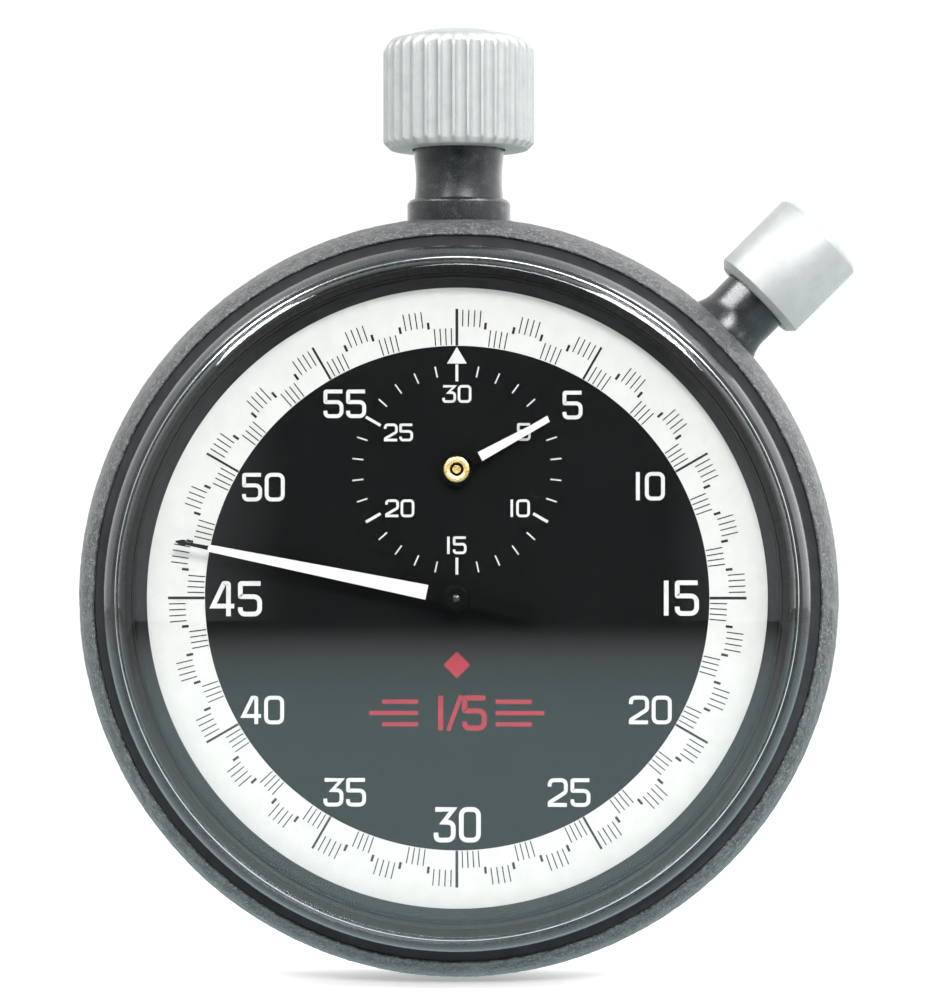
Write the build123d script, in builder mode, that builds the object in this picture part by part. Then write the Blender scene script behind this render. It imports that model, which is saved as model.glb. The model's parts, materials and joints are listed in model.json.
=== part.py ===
"""Mechanical stopwatch: 55 mm case, fifth-of-a-second dial, thirty-minute register.

Frame: +Z up through the crown, +X to the right, the dial faces -Y.
The origin is the centre of the back cover's outer face, on the axis of the seconds hand.
Heights are measured from that face towards the dial, along -Y.
"""

import os
from math import acos, atan2, cos, degrees, hypot, pi, radians, sin

from build123d import *

os.makedirs("parts", exist_ok=True)

# ---------------------------------------------------------------- driving dimensions, mm
CASE_RADIUS = 27.5
CASE_BACK_RADIUS = 25.7
CASE_SHOULDER_RADIUS = 25.4
CASE_BORE_RADIUS = 23.4
BACK_SEAT_RADIUS = 24.5
BEZEL_SEAT_RADIUS = 25.25
BACK_THICKNESS = 0.9
BACK_SEAT_HEIGHT = 1.75
BACK_LIP_HEIGHT = 1.35
CASE_WIDEST_HEIGHT = 6.5
CASE_LEDGE_HEIGHT = 10.8
CASE_SHOULDER_HEIGHT = 11.5

BEZEL_OUTER_RADIUS = 25.1
BEZEL_TOP_HEIGHT = 13.5
CRYSTAL_RADIUS = 23.95
CRYSTAL_FOOT_HEIGHT = 11.65
CRYSTAL_EDGE_HEIGHT = 13.3
CRYSTAL_TOP_HEIGHT = 15.6
CRYSTAL_WALL = 1.1

DIAL_RADIUS = 23.2
DIAL_BACK_HEIGHT = 10.8
DIAL_FRONT_HEIGHT = 11.2
FLANGE_RADIUS = 22.05

PLATE_RADIUS = 21.2
PLATE_BACK_HEIGHT = 7.2
PLATE_FRONT_HEIGHT = 8.5
BRIDGE_BACK_HEIGHT = 2.9
BRIDGE_FRONT_HEIGHT = 4.1

STEM_HEIGHT = 5.0
CROWN_RADIUS = 5.5
CROWN_BOTTOM = 32.5
CROWN_TOP = 41.3
CROWN_FLUTES = 33
CROWN_TRAVEL = 1.4
NECK_RADIUS = 3.25
COLLAR_RADIUS = 3.75
COLLAR_BOTTOM = 26.8
COLLAR_TOP = 28.8
TUBE_TOP = 35.2

RESET_ANGLE = 45.0
RESET_RADIUS = 3.67
RESET_INNER = 30.7
RESET_OUTER = 37.4
RESET_TRAVEL = 1.4
RESET_TUBE_RADIUS = 2.55
RESET_COLLAR_BOTTOM = 26.7

REGISTER_OFFSET = 9.11
ARBOR_RADIUS = 0.3
PIVOT_RADIUS = 0.11
PIVOT_CLEARANCE = 0.02
JEWEL_RADIUS = 0.55
RUNNING_CLEARANCE = 0.05

# Gear teeth are low and slim, as in watch work, so that they run with backlash.
ADDENDUM = 0.55
DEDENDUM = 0.85
ROOT_SHARE = 0.19
TIP_SHARE = 0.10


# ---------------------------------------------------------------- geometry helpers
def face_plane(height, at=(0.0, 0.0)):
    """Plane parallel to the dial, its local x to the right, its local y up, facing the viewer."""
    return Plane(origin=(at[0], -height, at[1]), x_dir=(1, 0, 0), z_dir=(0, -1, 0))


def section_plane(at=(0.0, 0.0)):
    """Half-section plane through an arbor: local x is the radius, local y is the height."""
    return Plane(origin=(at[0], 0, at[1]), x_dir=(1, 0, 0), z_dir=(0, 0, -1))


def arbor_axis(at=(0.0, 0.0)):
    """Axis of an arbor that stands square to the dial."""
    return Axis((at[0], 0, at[1]), (0, -1, 0))


def polar(radius, angle):
    """Point at a radius and an angle in degrees, counter-clockwise from +X on the dial."""
    return (radius * cos(radians(angle)), radius * sin(radians(angle)))


def direction(start, end):
    """Angle in degrees of the line from one point to another."""
    return degrees(atan2(end[1] - start[1], end[0] - start[0]))


def between(start, end, distance):
    """Point at a distance from start along the line to end."""
    length = hypot(end[0] - start[0], end[1] - start[1])
    share = distance / length
    return (start[0] + (end[0] - start[0]) * share, start[1] + (end[1] - start[1]) * share)


def meshing_point(first, first_distance, second, second_distance, side):
    """Point at given distances from two others, on the left (+1) or right (-1) of their line."""
    base = hypot(second[0] - first[0], second[1] - first[1])
    cosine = (first_distance**2 + base**2 - second_distance**2) / (2 * first_distance * base)
    angle = direction(first, second) + side * degrees(acos(cosine))
    return (
        first[0] + first_distance * cos(radians(angle)),
        first[1] + first_distance * sin(radians(angle)),
    )


def cap_point(edge, top, radius):
    """Point at a radius on the spherical cap that passes through edge and has its apex at top."""
    rise = top - edge[1]
    sphere = (edge[0] ** 2 + rise**2) / (2 * rise)
    return (radius, top - sphere + (sphere**2 - radius**2) ** 0.5)


def gear_points(teeth, pitch_radius, phase=0.0):
    """Outline of a gear whose first tooth is centred on the angle phase."""
    module = 2 * pitch_radius / teeth
    root = pitch_radius - DEDENDUM * module
    tip = pitch_radius + ADDENDUM * module
    corners = ((root, -ROOT_SHARE), (tip, -TIP_SHARE), (tip, TIP_SHARE), (root, ROOT_SHARE))
    return [
        polar(radius, phase + 360 / teeth * (tooth + share))
        for tooth in range(teeth)
        for radius, share in corners
    ]


def saw_points(teeth, root, tip, lean):
    """Outline of a ratchet or escape wheel whose teeth lean by a share of their pitch."""
    step = 360 / teeth
    corners = ((root, 0.0), (tip, lean), (tip, lean + 0.08), (root, 0.55))
    return [polar(radius, step * (tooth + share)) for tooth in range(teeth) for radius, share in corners]


def meshed_phase(teeth, phase, heading, next_teeth):
    """Phase of a gear that meshes with another one which stands at the angle heading from it."""
    share = (heading - phase) * teeth / 360
    return heading + 180 - (0.5 - share) * 360 / next_teeth


def add_spiral(height, width, at, start_radius, pitch, turns, strip):
    """Flat spiral strip for the open part: half circles whose centres step by half the pitch."""
    with BuildSketch(face_plane(height, at)) as spiral:
        for half in range(2 * turns):
            side = -1 if half % 2 else 1
            middle = pitch / 2 if half % 2 else 0.0
            inner = start_radius + half * pitch / 2 - strip / 2
            outer = inner + strip
            with BuildLine():
                ThreePointArc((middle + outer, 0), (middle, side * outer), (middle - outer, 0))
                Line((middle - outer, 0), (middle - inner, 0))
                ThreePointArc((middle - inner, 0), (middle, side * inner), (middle + inner, 0))
                Line((middle + inner, 0), (middle + outer, 0))
            make_face()
    extrude(spiral.sketch, amount=width)


def write(builder, name):
    """Label a finished piece and write it as one file."""
    builder.part.label = name
    export_step(builder.part, "parts/" + name + ".step")


# ---------------------------------------------------------------- layout of the movement
CENTRE = (0.0, 0.0)
REGISTER = (0.0, REGISTER_OFFSET)
BARREL = (-9.3, 7.9)
THIRD = (-3.6, -4.2)

THIRD_DISTANCE = hypot(*THIRD)
THIRD_PITCH = THIRD_DISTANCE * 60 / 68
CENTRE_PINION_PITCH = THIRD_DISTANCE * 8 / 68
INTERMEDIATE_PITCH = 5.96
THIRD_PINION_PITCH = INTERMEDIATE_PITCH / 8
BARREL_PITCH = 6.6
INTERMEDIATE_PINION_PITCH = BARREL_PITCH / 8
INTERMEDIATE = meshing_point(
    BARREL,
    BARREL_PITCH + INTERMEDIATE_PINION_PITCH,
    THIRD,
    INTERMEDIATE_PITCH + THIRD_PINION_PITCH,
    -1,
)
FOURTH_PITCH = 4.8
ESCAPE_PINION_PITCH = FOURTH_PITCH / 10
ESCAPE = polar(FOURTH_PITCH + ESCAPE_PINION_PITCH, -29.5)
PALLET_HEADING = -50.3
PALLET = (ESCAPE[0] + polar(3.0, PALLET_HEADING)[0], ESCAPE[1] + polar(3.0, PALLET_HEADING)[1])
BALANCE = (ESCAPE[0] + polar(7.3, PALLET_HEADING)[0], ESCAPE[1] + polar(7.3, PALLET_HEADING)[1])
BALANCE_RADIUS = 5.0

REGISTER_PINION_PITCH = 0.8
IDLER_PITCH = REGISTER_PINION_PITCH * 5
IDLER_PINION_PITCH = 0.75
MINUTE_WHEEL_PITCH = IDLER_PINION_PITCH * 6
IDLER = meshing_point(
    CENTRE,
    REGISTER_PINION_PITCH + IDLER_PITCH,
    REGISTER,
    IDLER_PINION_PITCH + MINUTE_WHEEL_PITCH,
    1,
)

RATCHET_PITCH = 5.7
CROWN_WHEEL_PITCH = 4.2
CROWN_WHEEL = (0.0, BARREL[1] + ((RATCHET_PITCH + CROWN_WHEEL_PITCH) ** 2 - BARREL[0] ** 2) ** 0.5)
CONTRATE_PITCH = 3.6
WINDING_PINION_PITCH = CONTRATE_PITCH / 2
CONTRATE_HEIGHT = STEM_HEIGHT - WINDING_PINION_PITCH
WINDING_MODULE = 2 * CONTRATE_PITCH / 24

COLUMN_WHEEL = (13.5, 7.6)
OPERATING_PIVOT = (8.6, 17.6)
BRAKE_PIVOT = (17.6, 0.6)
HAMMER_PIVOT = (7.5, -9.5)
CLICK_PIVOT = (-17.6, 4.6)

BARREL_BRIDGE_FEET = ((-17.3, 9.6), (-4.6, 18.4), (4.6, 15.6), (5.0, 8.4))
TRAIN_BRIDGE_FEET = ((-14.5, -6.2), (0.0, -11.0), (8.8, 1.8))
BALANCE_COCK_FOOT = (14.6, -12.6)
PALLET_COCK_FEET = ((4.3, -7.5), (9.3, -2.6))
REGISTER_COCK_FOOT = (-7.6, 5.4)
DIAL_FEET = ((-16.5, -11.0), (12.6, -15.2))
CLAMP_ANGLES = (125.0, 240.0, 345.0)
BALANCE_STAFF_TOP = 3.2

# ---------------------------------------------------------------- case
with BuildPart() as case_body:
    with BuildSketch(section_plane()):
        with BuildLine():
            Spline(
                (CASE_BACK_RADIUS, BACK_THICKNESS),
                (CASE_RADIUS - 0.6, CASE_WIDEST_HEIGHT - 2.9),
                (CASE_RADIUS, CASE_WIDEST_HEIGHT),
                (CASE_RADIUS - 0.6, CASE_WIDEST_HEIGHT + 2.9),
                (CASE_SHOULDER_RADIUS, CASE_SHOULDER_HEIGHT),
            )
            Polyline(
                (CASE_SHOULDER_RADIUS, CASE_SHOULDER_HEIGHT),
                (BEZEL_SEAT_RADIUS, CASE_SHOULDER_HEIGHT),
                (BEZEL_SEAT_RADIUS, CASE_LEDGE_HEIGHT),
                (CASE_BORE_RADIUS, CASE_LEDGE_HEIGHT),
                (CASE_BORE_RADIUS, BACK_SEAT_HEIGHT),
                (BACK_SEAT_RADIUS, BACK_SEAT_HEIGHT),
                (BACK_SEAT_RADIUS, BACK_THICKNESS),
                (CASE_BACK_RADIUS, BACK_THICKNESS),
            )
        make_face()
    revolve(axis=arbor_axis())
    crown_bore = Plane(origin=(0, -STEM_HEIGHT, 20), x_dir=(1, 0, 0), z_dir=(0, 0, 1))
    with BuildSketch(crown_bore):
        Circle(NECK_RADIUS - 0.05)
    reset_out = (cos(radians(RESET_ANGLE)), 0, sin(radians(RESET_ANGLE)))
    reset_bore = Plane(origin=(0, -STEM_HEIGHT, 0), x_dir=(0, -1, 0), z_dir=reset_out)
    with BuildSketch(reset_bore.offset(20)):
        Circle(RESET_TUBE_RADIUS - 0.1)
    extrude(amount=10, mode=Mode.SUBTRACT)
    # seats let into the rim for the collars of the two tubes
    with BuildSketch(crown_bore.offset(COLLAR_BOTTOM - 20)):
        Circle(COLLAR_RADIUS + 0.03)
    with BuildSketch(reset_bore.offset(RESET_COLLAR_BOTTOM)):
        Circle(RESET_TUBE_RADIUS + 0.38)
    extrude(amount=3, mode=Mode.SUBTRACT)
write(case_body, "case_body")

with BuildPart() as back_cover:
    with BuildSketch(section_plane()):
        with BuildLine():
            Polyline(
                (CASE_BACK_RADIUS - 0.05, BACK_THICKNESS),
                (BACK_SEAT_RADIUS - 0.05, BACK_THICKNESS),
                (BACK_SEAT_RADIUS - 0.05, BACK_LIP_HEIGHT),
                (BACK_SEAT_RADIUS - 0.65, BACK_LIP_HEIGHT),
                (BACK_SEAT_RADIUS - 0.65, BACK_THICKNESS),
                (0, BACK_THICKNESS),
                (0, 0),
                (24.6, 0),
            )
            ThreePointArc((24.6, 0), (25.35, 0.28), (CASE_BACK_RADIUS - 0.05, BACK_THICKNESS))
        make_face()
    revolve(axis=arbor_axis())
write(back_cover, "back_cover")

with BuildPart() as back_gasket:
    with BuildSketch(section_plane()):
        with Locations((BACK_SEAT_RADIUS - 0.35, (BACK_LIP_HEIGHT + BACK_SEAT_HEIGHT) / 2)):
            Rectangle(0.55, BACK_SEAT_HEIGHT - BACK_LIP_HEIGHT)
    revolve(axis=arbor_axis())
write(back_gasket, "back_gasket")

with BuildPart() as bezel:
    with BuildSketch(section_plane()):
        with BuildLine():
            Polyline(
                (BEZEL_OUTER_RADIUS, 10.85),
                (BEZEL_OUTER_RADIUS, 12.1),
            )
            ThreePointArc((BEZEL_OUTER_RADIUS, 12.1), (24.86, 13.05), (24.35, BEZEL_TOP_HEIGHT))
            Polyline(
                (24.35, BEZEL_TOP_HEIGHT),
                (CRYSTAL_RADIUS + 0.05, BEZEL_TOP_HEIGHT - 0.1),
                (CRYSTAL_RADIUS + 0.05, CRYSTAL_FOOT_HEIGHT - 0.35),
                (23.35, CRYSTAL_FOOT_HEIGHT - 0.35),
                (23.35, 10.85),
                (BEZEL_OUTER_RADIUS, 10.85),
            )
        make_face()
    revolve(axis=arbor_axis())
write(bezel, "bezel")

with BuildPart() as crystal_gasket:
    with BuildSketch(section_plane()):
        with Locations((CRYSTAL_RADIUS - 0.5, CRYSTAL_FOOT_HEIGHT - 0.175)):
            Rectangle(0.9, 0.33)
    revolve(axis=arbor_axis())
write(crystal_gasket, "crystal_gasket")

CRYSTAL_SHOULDER = (CRYSTAL_RADIUS - 0.75, CRYSTAL_EDGE_HEIGHT + 0.68)
CRYSTAL_INNER_TOP = CRYSTAL_TOP_HEIGHT - CRYSTAL_WALL
CRYSTAL_INNER_EDGE = (CRYSTAL_RADIUS - CRYSTAL_WALL - 0.1, CRYSTAL_EDGE_HEIGHT - 0.35)
with BuildPart() as crystal:
    with BuildSketch(section_plane()):
        with BuildLine():
            Line((CRYSTAL_RADIUS, CRYSTAL_FOOT_HEIGHT), (CRYSTAL_RADIUS, CRYSTAL_EDGE_HEIGHT))
            ThreePointArc(
                (CRYSTAL_RADIUS, CRYSTAL_EDGE_HEIGHT),
                (CRYSTAL_RADIUS - 0.22, CRYSTAL_EDGE_HEIGHT + 0.42),
                CRYSTAL_SHOULDER,
            )
            ThreePointArc(
                CRYSTAL_SHOULDER, cap_point(CRYSTAL_SHOULDER, CRYSTAL_TOP_HEIGHT, 12), (0, CRYSTAL_TOP_HEIGHT)
            )
            Line((0, CRYSTAL_TOP_HEIGHT), (0, CRYSTAL_INNER_TOP))
            ThreePointArc(
                (0, CRYSTAL_INNER_TOP), cap_point(CRYSTAL_INNER_EDGE, CRYSTAL_INNER_TOP, 12), CRYSTAL_INNER_EDGE
            )
            Polyline(
                CRYSTAL_INNER_EDGE,
                (CRYSTAL_RADIUS - CRYSTAL_WALL + 0.1, CRYSTAL_FOOT_HEIGHT),
                (CRYSTAL_RADIUS, CRYSTAL_FOOT_HEIGHT),
            )
        make_face()
    revolve(axis=arbor_axis())
write(crystal, "crystal")

with BuildPart() as pendant_tube:
    with BuildSketch(Plane(origin=(0, -STEM_HEIGHT, 0), x_dir=(1, 0, 0), z_dir=(0, -1, 0))):
        with BuildLine():
            Polyline(
                (2.0, 23.45),
                (NECK_RADIUS - 0.05, 23.45),
                (NECK_RADIUS - 0.05, COLLAR_BOTTOM),
                (COLLAR_RADIUS - 0.15, COLLAR_BOTTOM),
                (COLLAR_RADIUS, COLLAR_BOTTOM + 0.25),
                (COLLAR_RADIUS, COLLAR_TOP - 0.25),
                (COLLAR_RADIUS - 0.2, COLLAR_TOP),
                (NECK_RADIUS, COLLAR_TOP),
            )
            ThreePointArc(
                (NECK_RADIUS, COLLAR_TOP), (NECK_RADIUS - 0.12, 30.4), (NECK_RADIUS, 31.9)
            )
            Polyline(
                (NECK_RADIUS, 31.9),
                (NECK_RADIUS, TUBE_TOP - 0.15),
                (NECK_RADIUS - 0.12, TUBE_TOP),
                (2.85, TUBE_TOP),
                (2.85, 28.0),
                (2.0, 28.0),
                (2.0, 23.45),
            )
        make_face()
    revolve(axis=Axis((0, -STEM_HEIGHT, 0), (0, 0, 1)))
write(pendant_tube, "pendant_tube")

RESET_SECTION = Plane(origin=(0, -STEM_HEIGHT, 0), x_dir=reset_out, z_dir=(0, -1, 0))
RESET_AXIS = Axis((0, -STEM_HEIGHT, 0), reset_out)
with BuildPart() as reset_tube:
    with BuildSketch(RESET_SECTION):
        with BuildLine():
            Polyline(
                (23.45, 1.0),
                (23.45, RESET_TUBE_RADIUS - 0.1),
                (RESET_COLLAR_BOTTOM, RESET_TUBE_RADIUS - 0.1),
                (RESET_COLLAR_BOTTOM, RESET_TUBE_RADIUS + 0.35),
                (27.5, RESET_TUBE_RADIUS + 0.3),
            )
            ThreePointArc(
                (27.5, RESET_TUBE_RADIUS + 0.3), (28.1, RESET_TUBE_RADIUS + 0.07), (29.0, RESET_TUBE_RADIUS)
            )
            Polyline(
                (29.0, RESET_TUBE_RADIUS),
                (33.2, RESET_TUBE_RADIUS),
                (33.2, 2.1),
                (27.4, 2.1),
                (27.4, 1.0),
                (23.45, 1.0),
            )
        make_face()
    revolve(axis=RESET_AXIS)
write(reset_tube, "reset_tube")

with BuildPart() as movement_ring:
    with BuildSketch(section_plane()):
        with BuildLine():
            Polyline(
                (PLATE_RADIUS + 0.05, PLATE_BACK_HEIGHT),
                (CASE_BORE_RADIUS - 0.05, PLATE_BACK_HEIGHT),
                (CASE_BORE_RADIUS - 0.05, DIAL_BACK_HEIGHT),
                (20.8, DIAL_BACK_HEIGHT),
                (20.8, PLATE_FRONT_HEIGHT),
                (PLATE_RADIUS + 0.05, PLATE_FRONT_HEIGHT),
                (PLATE_RADIUS + 0.05, PLATE_BACK_HEIGHT),
            )
        make_face()
    revolve(axis=arbor_axis())
write(movement_ring, "movement_ring")

with BuildPart() as case_clamps:
    for clamp_angle in CLAMP_ANGLES:
        with BuildSketch(face_plane(PLATE_BACK_HEIGHT - 0.5)):
            with Locations(polar(20.6, clamp_angle)):
                SlotOverall(4.6, 2.2, rotation=clamp_angle)
            with Locations(polar(19.4, clamp_angle)):
                Circle(0.42, mode=Mode.SUBTRACT)
        extrude(amount=0.5)
write(case_clamps, "case_clamps")

# ---------------------------------------------------------------- dial
with BuildPart() as dial:
    with BuildSketch(face_plane(DIAL_BACK_HEIGHT)):
        Circle(DIAL_RADIUS)
        Circle(0.9, mode=Mode.SUBTRACT)
        with Locations(REGISTER):
            Circle(0.75, mode=Mode.SUBTRACT)
    extrude(amount=DIAL_FRONT_HEIGHT - DIAL_BACK_HEIGHT)
    with BuildSketch(face_plane(PLATE_BACK_HEIGHT + 0.3)):
        with Locations(*DIAL_FEET):
            Circle(0.45)
    extrude(amount=DIAL_BACK_HEIGHT - PLATE_BACK_HEIGHT - 0.3)
write(dial, "dial")

with BuildPart() as dial_flange:
    with BuildSketch(section_plane()):
        with BuildLine():
            Polyline(
                (FLANGE_RADIUS, DIAL_FRONT_HEIGHT),
                (22.75, DIAL_FRONT_HEIGHT),
                (22.7, 12.6),
                (22.5, 12.6),
                (FLANGE_RADIUS, DIAL_FRONT_HEIGHT + 0.15),
                (FLANGE_RADIUS, DIAL_FRONT_HEIGHT),
            )
        make_face()
    revolve(axis=arbor_axis())
write(dial_flange, "dial_flange")

# ---------------------------------------------------------------- frame of the movement
# Each pivot runs in a jewel, set in a hole of the plate or bridge that carries it.
BACK_PIVOTS = (CENTRE, THIRD, INTERMEDIATE, ESCAPE)
PLATE_PIVOTS = (THIRD, INTERMEDIATE, ESCAPE, PALLET, BALANCE)
LEVER_POSTS = (OPERATING_PIVOT, BRAKE_PIVOT, COLUMN_WHEEL)
BRIDGE_FEET = BARREL_BRIDGE_FEET + TRAIN_BRIDGE_FEET + (BALANCE_COCK_FOOT,)
FOOT_RADIUS = 1.2
SCREW_RADIUS = 0.4
PLATE_PIVOT_RADIUS = 0.36
HAMMER_NOTCH_RADIUS = 16.2

with BuildPart() as mainplate:
    with BuildSketch(face_plane(PLATE_BACK_HEIGHT)):
        Circle(PLATE_RADIUS)
        with Locations(*PLATE_PIVOTS, IDLER, REGISTER):
            Circle(JEWEL_RADIUS, mode=Mode.SUBTRACT)
        with Locations(CENTRE):
            Circle(0.9, mode=Mode.SUBTRACT)
        with Locations(BARREL):
            Circle(0.75, mode=Mode.SUBTRACT)
        with Locations(*DIAL_FEET):
            Circle(0.5, mode=Mode.SUBTRACT)
        with Locations(*BRIDGE_FEET, *PALLET_COCK_FEET, *LEVER_POSTS, HAMMER_PIVOT, REGISTER_COCK_FOOT):
            Circle(SCREW_RADIUS, mode=Mode.SUBTRACT)
        with Locations(*[polar(19.4, clamp_angle) for clamp_angle in CLAMP_ANGLES]):
            Circle(SCREW_RADIUS, mode=Mode.SUBTRACT)
        with Locations(polar((HAMMER_NOTCH_RADIUS + 22.6) / 2, RESET_ANGLE)):
            Rectangle(22.6 - HAMMER_NOTCH_RADIUS, 7.0, rotation=RESET_ANGLE, mode=Mode.SUBTRACT)
    extrude(amount=PLATE_FRONT_HEIGHT - PLATE_BACK_HEIGHT)
    with BuildSketch(Plane(origin=(0, -STEM_HEIGHT, 10.0), x_dir=(1, 0, 0), z_dir=(0, 0, 1))):
        with Locations((0, -(PLATE_BACK_HEIGHT - STEM_HEIGHT) / 2 + 0.4)):
            Rectangle(2.4, PLATE_BACK_HEIGHT - STEM_HEIGHT + 0.8)
        Circle(0.5 + RUNNING_CLEARANCE, mode=Mode.SUBTRACT)
    extrude(amount=1.2)
write(mainplate, "mainplate")

with BuildPart() as barrel_bridge:
    with BuildSketch(face_plane(BRIDGE_BACK_HEIGHT)):
        with Locations(*BARREL_BRIDGE_FEET, BARREL):
            Circle(2.3)
        with Locations(CLICK_PIVOT):
            Circle(1.6)
        make_hull()
        with Locations(CLICK_PIVOT):
            Circle(SCREW_RADIUS, mode=Mode.SUBTRACT)
        with Locations(*BARREL_BRIDGE_FEET):
            Circle(SCREW_RADIUS, mode=Mode.SUBTRACT)
        with Locations(BARREL):
            Circle(0.8, mode=Mode.SUBTRACT)
    extrude(amount=BRIDGE_FRONT_HEIGHT - BRIDGE_BACK_HEIGHT)
    with BuildSketch(face_plane(BRIDGE_FRONT_HEIGHT)):
        with Locations(*BARREL_BRIDGE_FEET):
            Circle(FOOT_RADIUS)
            Circle(SCREW_RADIUS, mode=Mode.SUBTRACT)
    extrude(amount=PLATE_BACK_HEIGHT - BRIDGE_FRONT_HEIGHT)
    # round recess for the face teeth of the crown wheel, and a window for the winding pinion
    with BuildSketch(face_plane(BRIDGE_BACK_HEIGHT, CROWN_WHEEL)):
        Circle(4.3)
        Circle(1.7, mode=Mode.SUBTRACT)
    extrude(amount=0.85, mode=Mode.SUBTRACT)
    with BuildSketch(face_plane(BRIDGE_BACK_HEIGHT)):
        with Locations((0, CROWN_WHEEL[1] + CONTRATE_PITCH + 1.0)):
            Rectangle(4.6, 4.6)
        with Locations((0, 19.0)):
            Rectangle(4.6, 6.0)
        with Locations(CROWN_WHEEL):
            Circle(SCREW_RADIUS)
    extrude(amount=BRIDGE_FRONT_HEIGHT - BRIDGE_BACK_HEIGHT, mode=Mode.SUBTRACT)
    with BuildSketch(face_plane(BRIDGE_FRONT_HEIGHT)):
        with Locations((0, 13.0)):
            Rectangle(2.6, 14.0)
    extrude(amount=-0.3, mode=Mode.SUBTRACT)
write(barrel_bridge, "barrel_bridge")

with BuildPart() as train_bridge:
    with BuildSketch(face_plane(BRIDGE_BACK_HEIGHT)):
        with Locations(*TRAIN_BRIDGE_FEET, INTERMEDIATE):
            Circle(2.1)
        make_hull()
        with Locations(*BACK_PIVOTS):
            Circle(JEWEL_RADIUS, mode=Mode.SUBTRACT)
        with Locations(*TRAIN_BRIDGE_FEET):
            Circle(SCREW_RADIUS, mode=Mode.SUBTRACT)
    extrude(amount=BRIDGE_FRONT_HEIGHT - BRIDGE_BACK_HEIGHT)
    with BuildSketch(face_plane(BRIDGE_FRONT_HEIGHT)):
        with Locations(*TRAIN_BRIDGE_FEET):
            Circle(FOOT_RADIUS)
            Circle(SCREW_RADIUS, mode=Mode.SUBTRACT)
    extrude(amount=PLATE_BACK_HEIGHT - BRIDGE_FRONT_HEIGHT)
write(train_bridge, "train_bridge")

BALANCE_COCK_FRONT = 3.7
with BuildPart() as balance_cock:
    with BuildSketch(face_plane(BRIDGE_BACK_HEIGHT)):
        with Locations(BALANCE):
            Circle(1.6)
        with Locations(BALANCE_COCK_FOOT):
            Circle(2.4)
        make_hull()
        with Locations(BALANCE):
            Circle(JEWEL_RADIUS, mode=Mode.SUBTRACT)
        with Locations(BALANCE_COCK_FOOT):
            Circle(SCREW_RADIUS, mode=Mode.SUBTRACT)
    extrude(amount=BALANCE_COCK_FRONT - BRIDGE_BACK_HEIGHT)
    with BuildSketch(face_plane(BALANCE_COCK_FRONT)):
        with Locations(BALANCE_COCK_FOOT):
            Circle(FOOT_RADIUS)
            Circle(SCREW_RADIUS, mode=Mode.SUBTRACT)
    extrude(amount=PLATE_BACK_HEIGHT - BALANCE_COCK_FRONT)
write(balance_cock, "balance_cock")

PALLET_COCK_BACK = 5.3
PALLET_COCK_FRONT = 5.8
with BuildPart() as pallet_cock:
    with BuildSketch(face_plane(PALLET_COCK_BACK)):
        with Locations(*PALLET_COCK_FEET, PALLET):
            Circle(1.0)
        make_hull()
        with Locations(PALLET):
            Circle(0.3, mode=Mode.SUBTRACT)
        with Locations(*PALLET_COCK_FEET):
            Circle(SCREW_RADIUS, mode=Mode.SUBTRACT)
    extrude(amount=PALLET_COCK_FRONT - PALLET_COCK_BACK)
    with BuildSketch(face_plane(PALLET_COCK_FRONT)):
        with Locations(*PALLET_COCK_FEET):
            Circle(0.9)
            Circle(SCREW_RADIUS, mode=Mode.SUBTRACT)
    extrude(amount=PLATE_BACK_HEIGHT - PALLET_COCK_FRONT)
write(pallet_cock, "pallet_cock")

REGISTER_COCK_BACK = 9.8
with BuildPart() as register_cock:
    with BuildSketch(face_plane(REGISTER_COCK_BACK)):
        with Locations(IDLER):
            Circle(0.8)
        with Locations(REGISTER_COCK_FOOT):
            Circle(1.3)
        make_hull()
        with Locations(IDLER):
            Circle(PIVOT_RADIUS + PIVOT_CLEARANCE, mode=Mode.SUBTRACT)
        with Locations(REGISTER_COCK_FOOT):
            Circle(SCREW_RADIUS, mode=Mode.SUBTRACT)
    extrude(amount=0.4)
    with BuildSketch(face_plane(PLATE_FRONT_HEIGHT)):
        with Locations(REGISTER_COCK_FOOT):
            Circle(1.1)
            Circle(SCREW_RADIUS, mode=Mode.SUBTRACT)
    extrude(amount=REGISTER_COCK_BACK - PLATE_FRONT_HEIGHT)
write(register_cock, "register_cock")


def add_jewel(height, at, thickness=0.45, bore=PIVOT_RADIUS + PIVOT_CLEARANCE, outer=JEWEL_RADIUS):
    """Ring jewel for the open part."""
    with BuildSketch(face_plane(height, at)) as ring:
        Circle(outer)
        Circle(bore, mode=Mode.SUBTRACT)
    extrude(ring.sketch, amount=thickness)


with BuildPart() as jewel_bearings:
    for pivot in BACK_PIVOTS:
        add_jewel(3.5, pivot)
    add_jewel(BRIDGE_BACK_HEIGHT + 0.2, BALANCE)
    for pivot in PLATE_PIVOTS + (IDLER,):
        add_jewel(PLATE_BACK_HEIGHT + 0.1, pivot)
    # long bushes carry the two arbors that reach through the dial
    add_jewel(PLATE_BACK_HEIGHT, REGISTER, PLATE_FRONT_HEIGHT - PLATE_BACK_HEIGHT, 0.33)
    add_jewel(PLATE_BACK_HEIGHT, CENTRE, PLATE_FRONT_HEIGHT - PLATE_BACK_HEIGHT, 0.53, 0.9)
write(jewel_bearings, "jewel_bearings")


def add_disc(start, end, at, radius, mode=Mode.ADD):
    """Round bar for the open part, between two heights."""
    with BuildSketch(face_plane(start, at)) as disc:
        Circle(radius)
    extrude(disc.sketch, amount=end - start, mode=mode)


def add_slot(start, end, at, width):
    """Screwdriver slot for the open part, from the head's face at start down to end."""
    with BuildSketch(face_plane(start, at)) as slot:
        Rectangle(3.4, width, rotation=at[0] * 37)
    extrude(slot.sketch, amount=end - start, mode=Mode.SUBTRACT)


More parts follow.
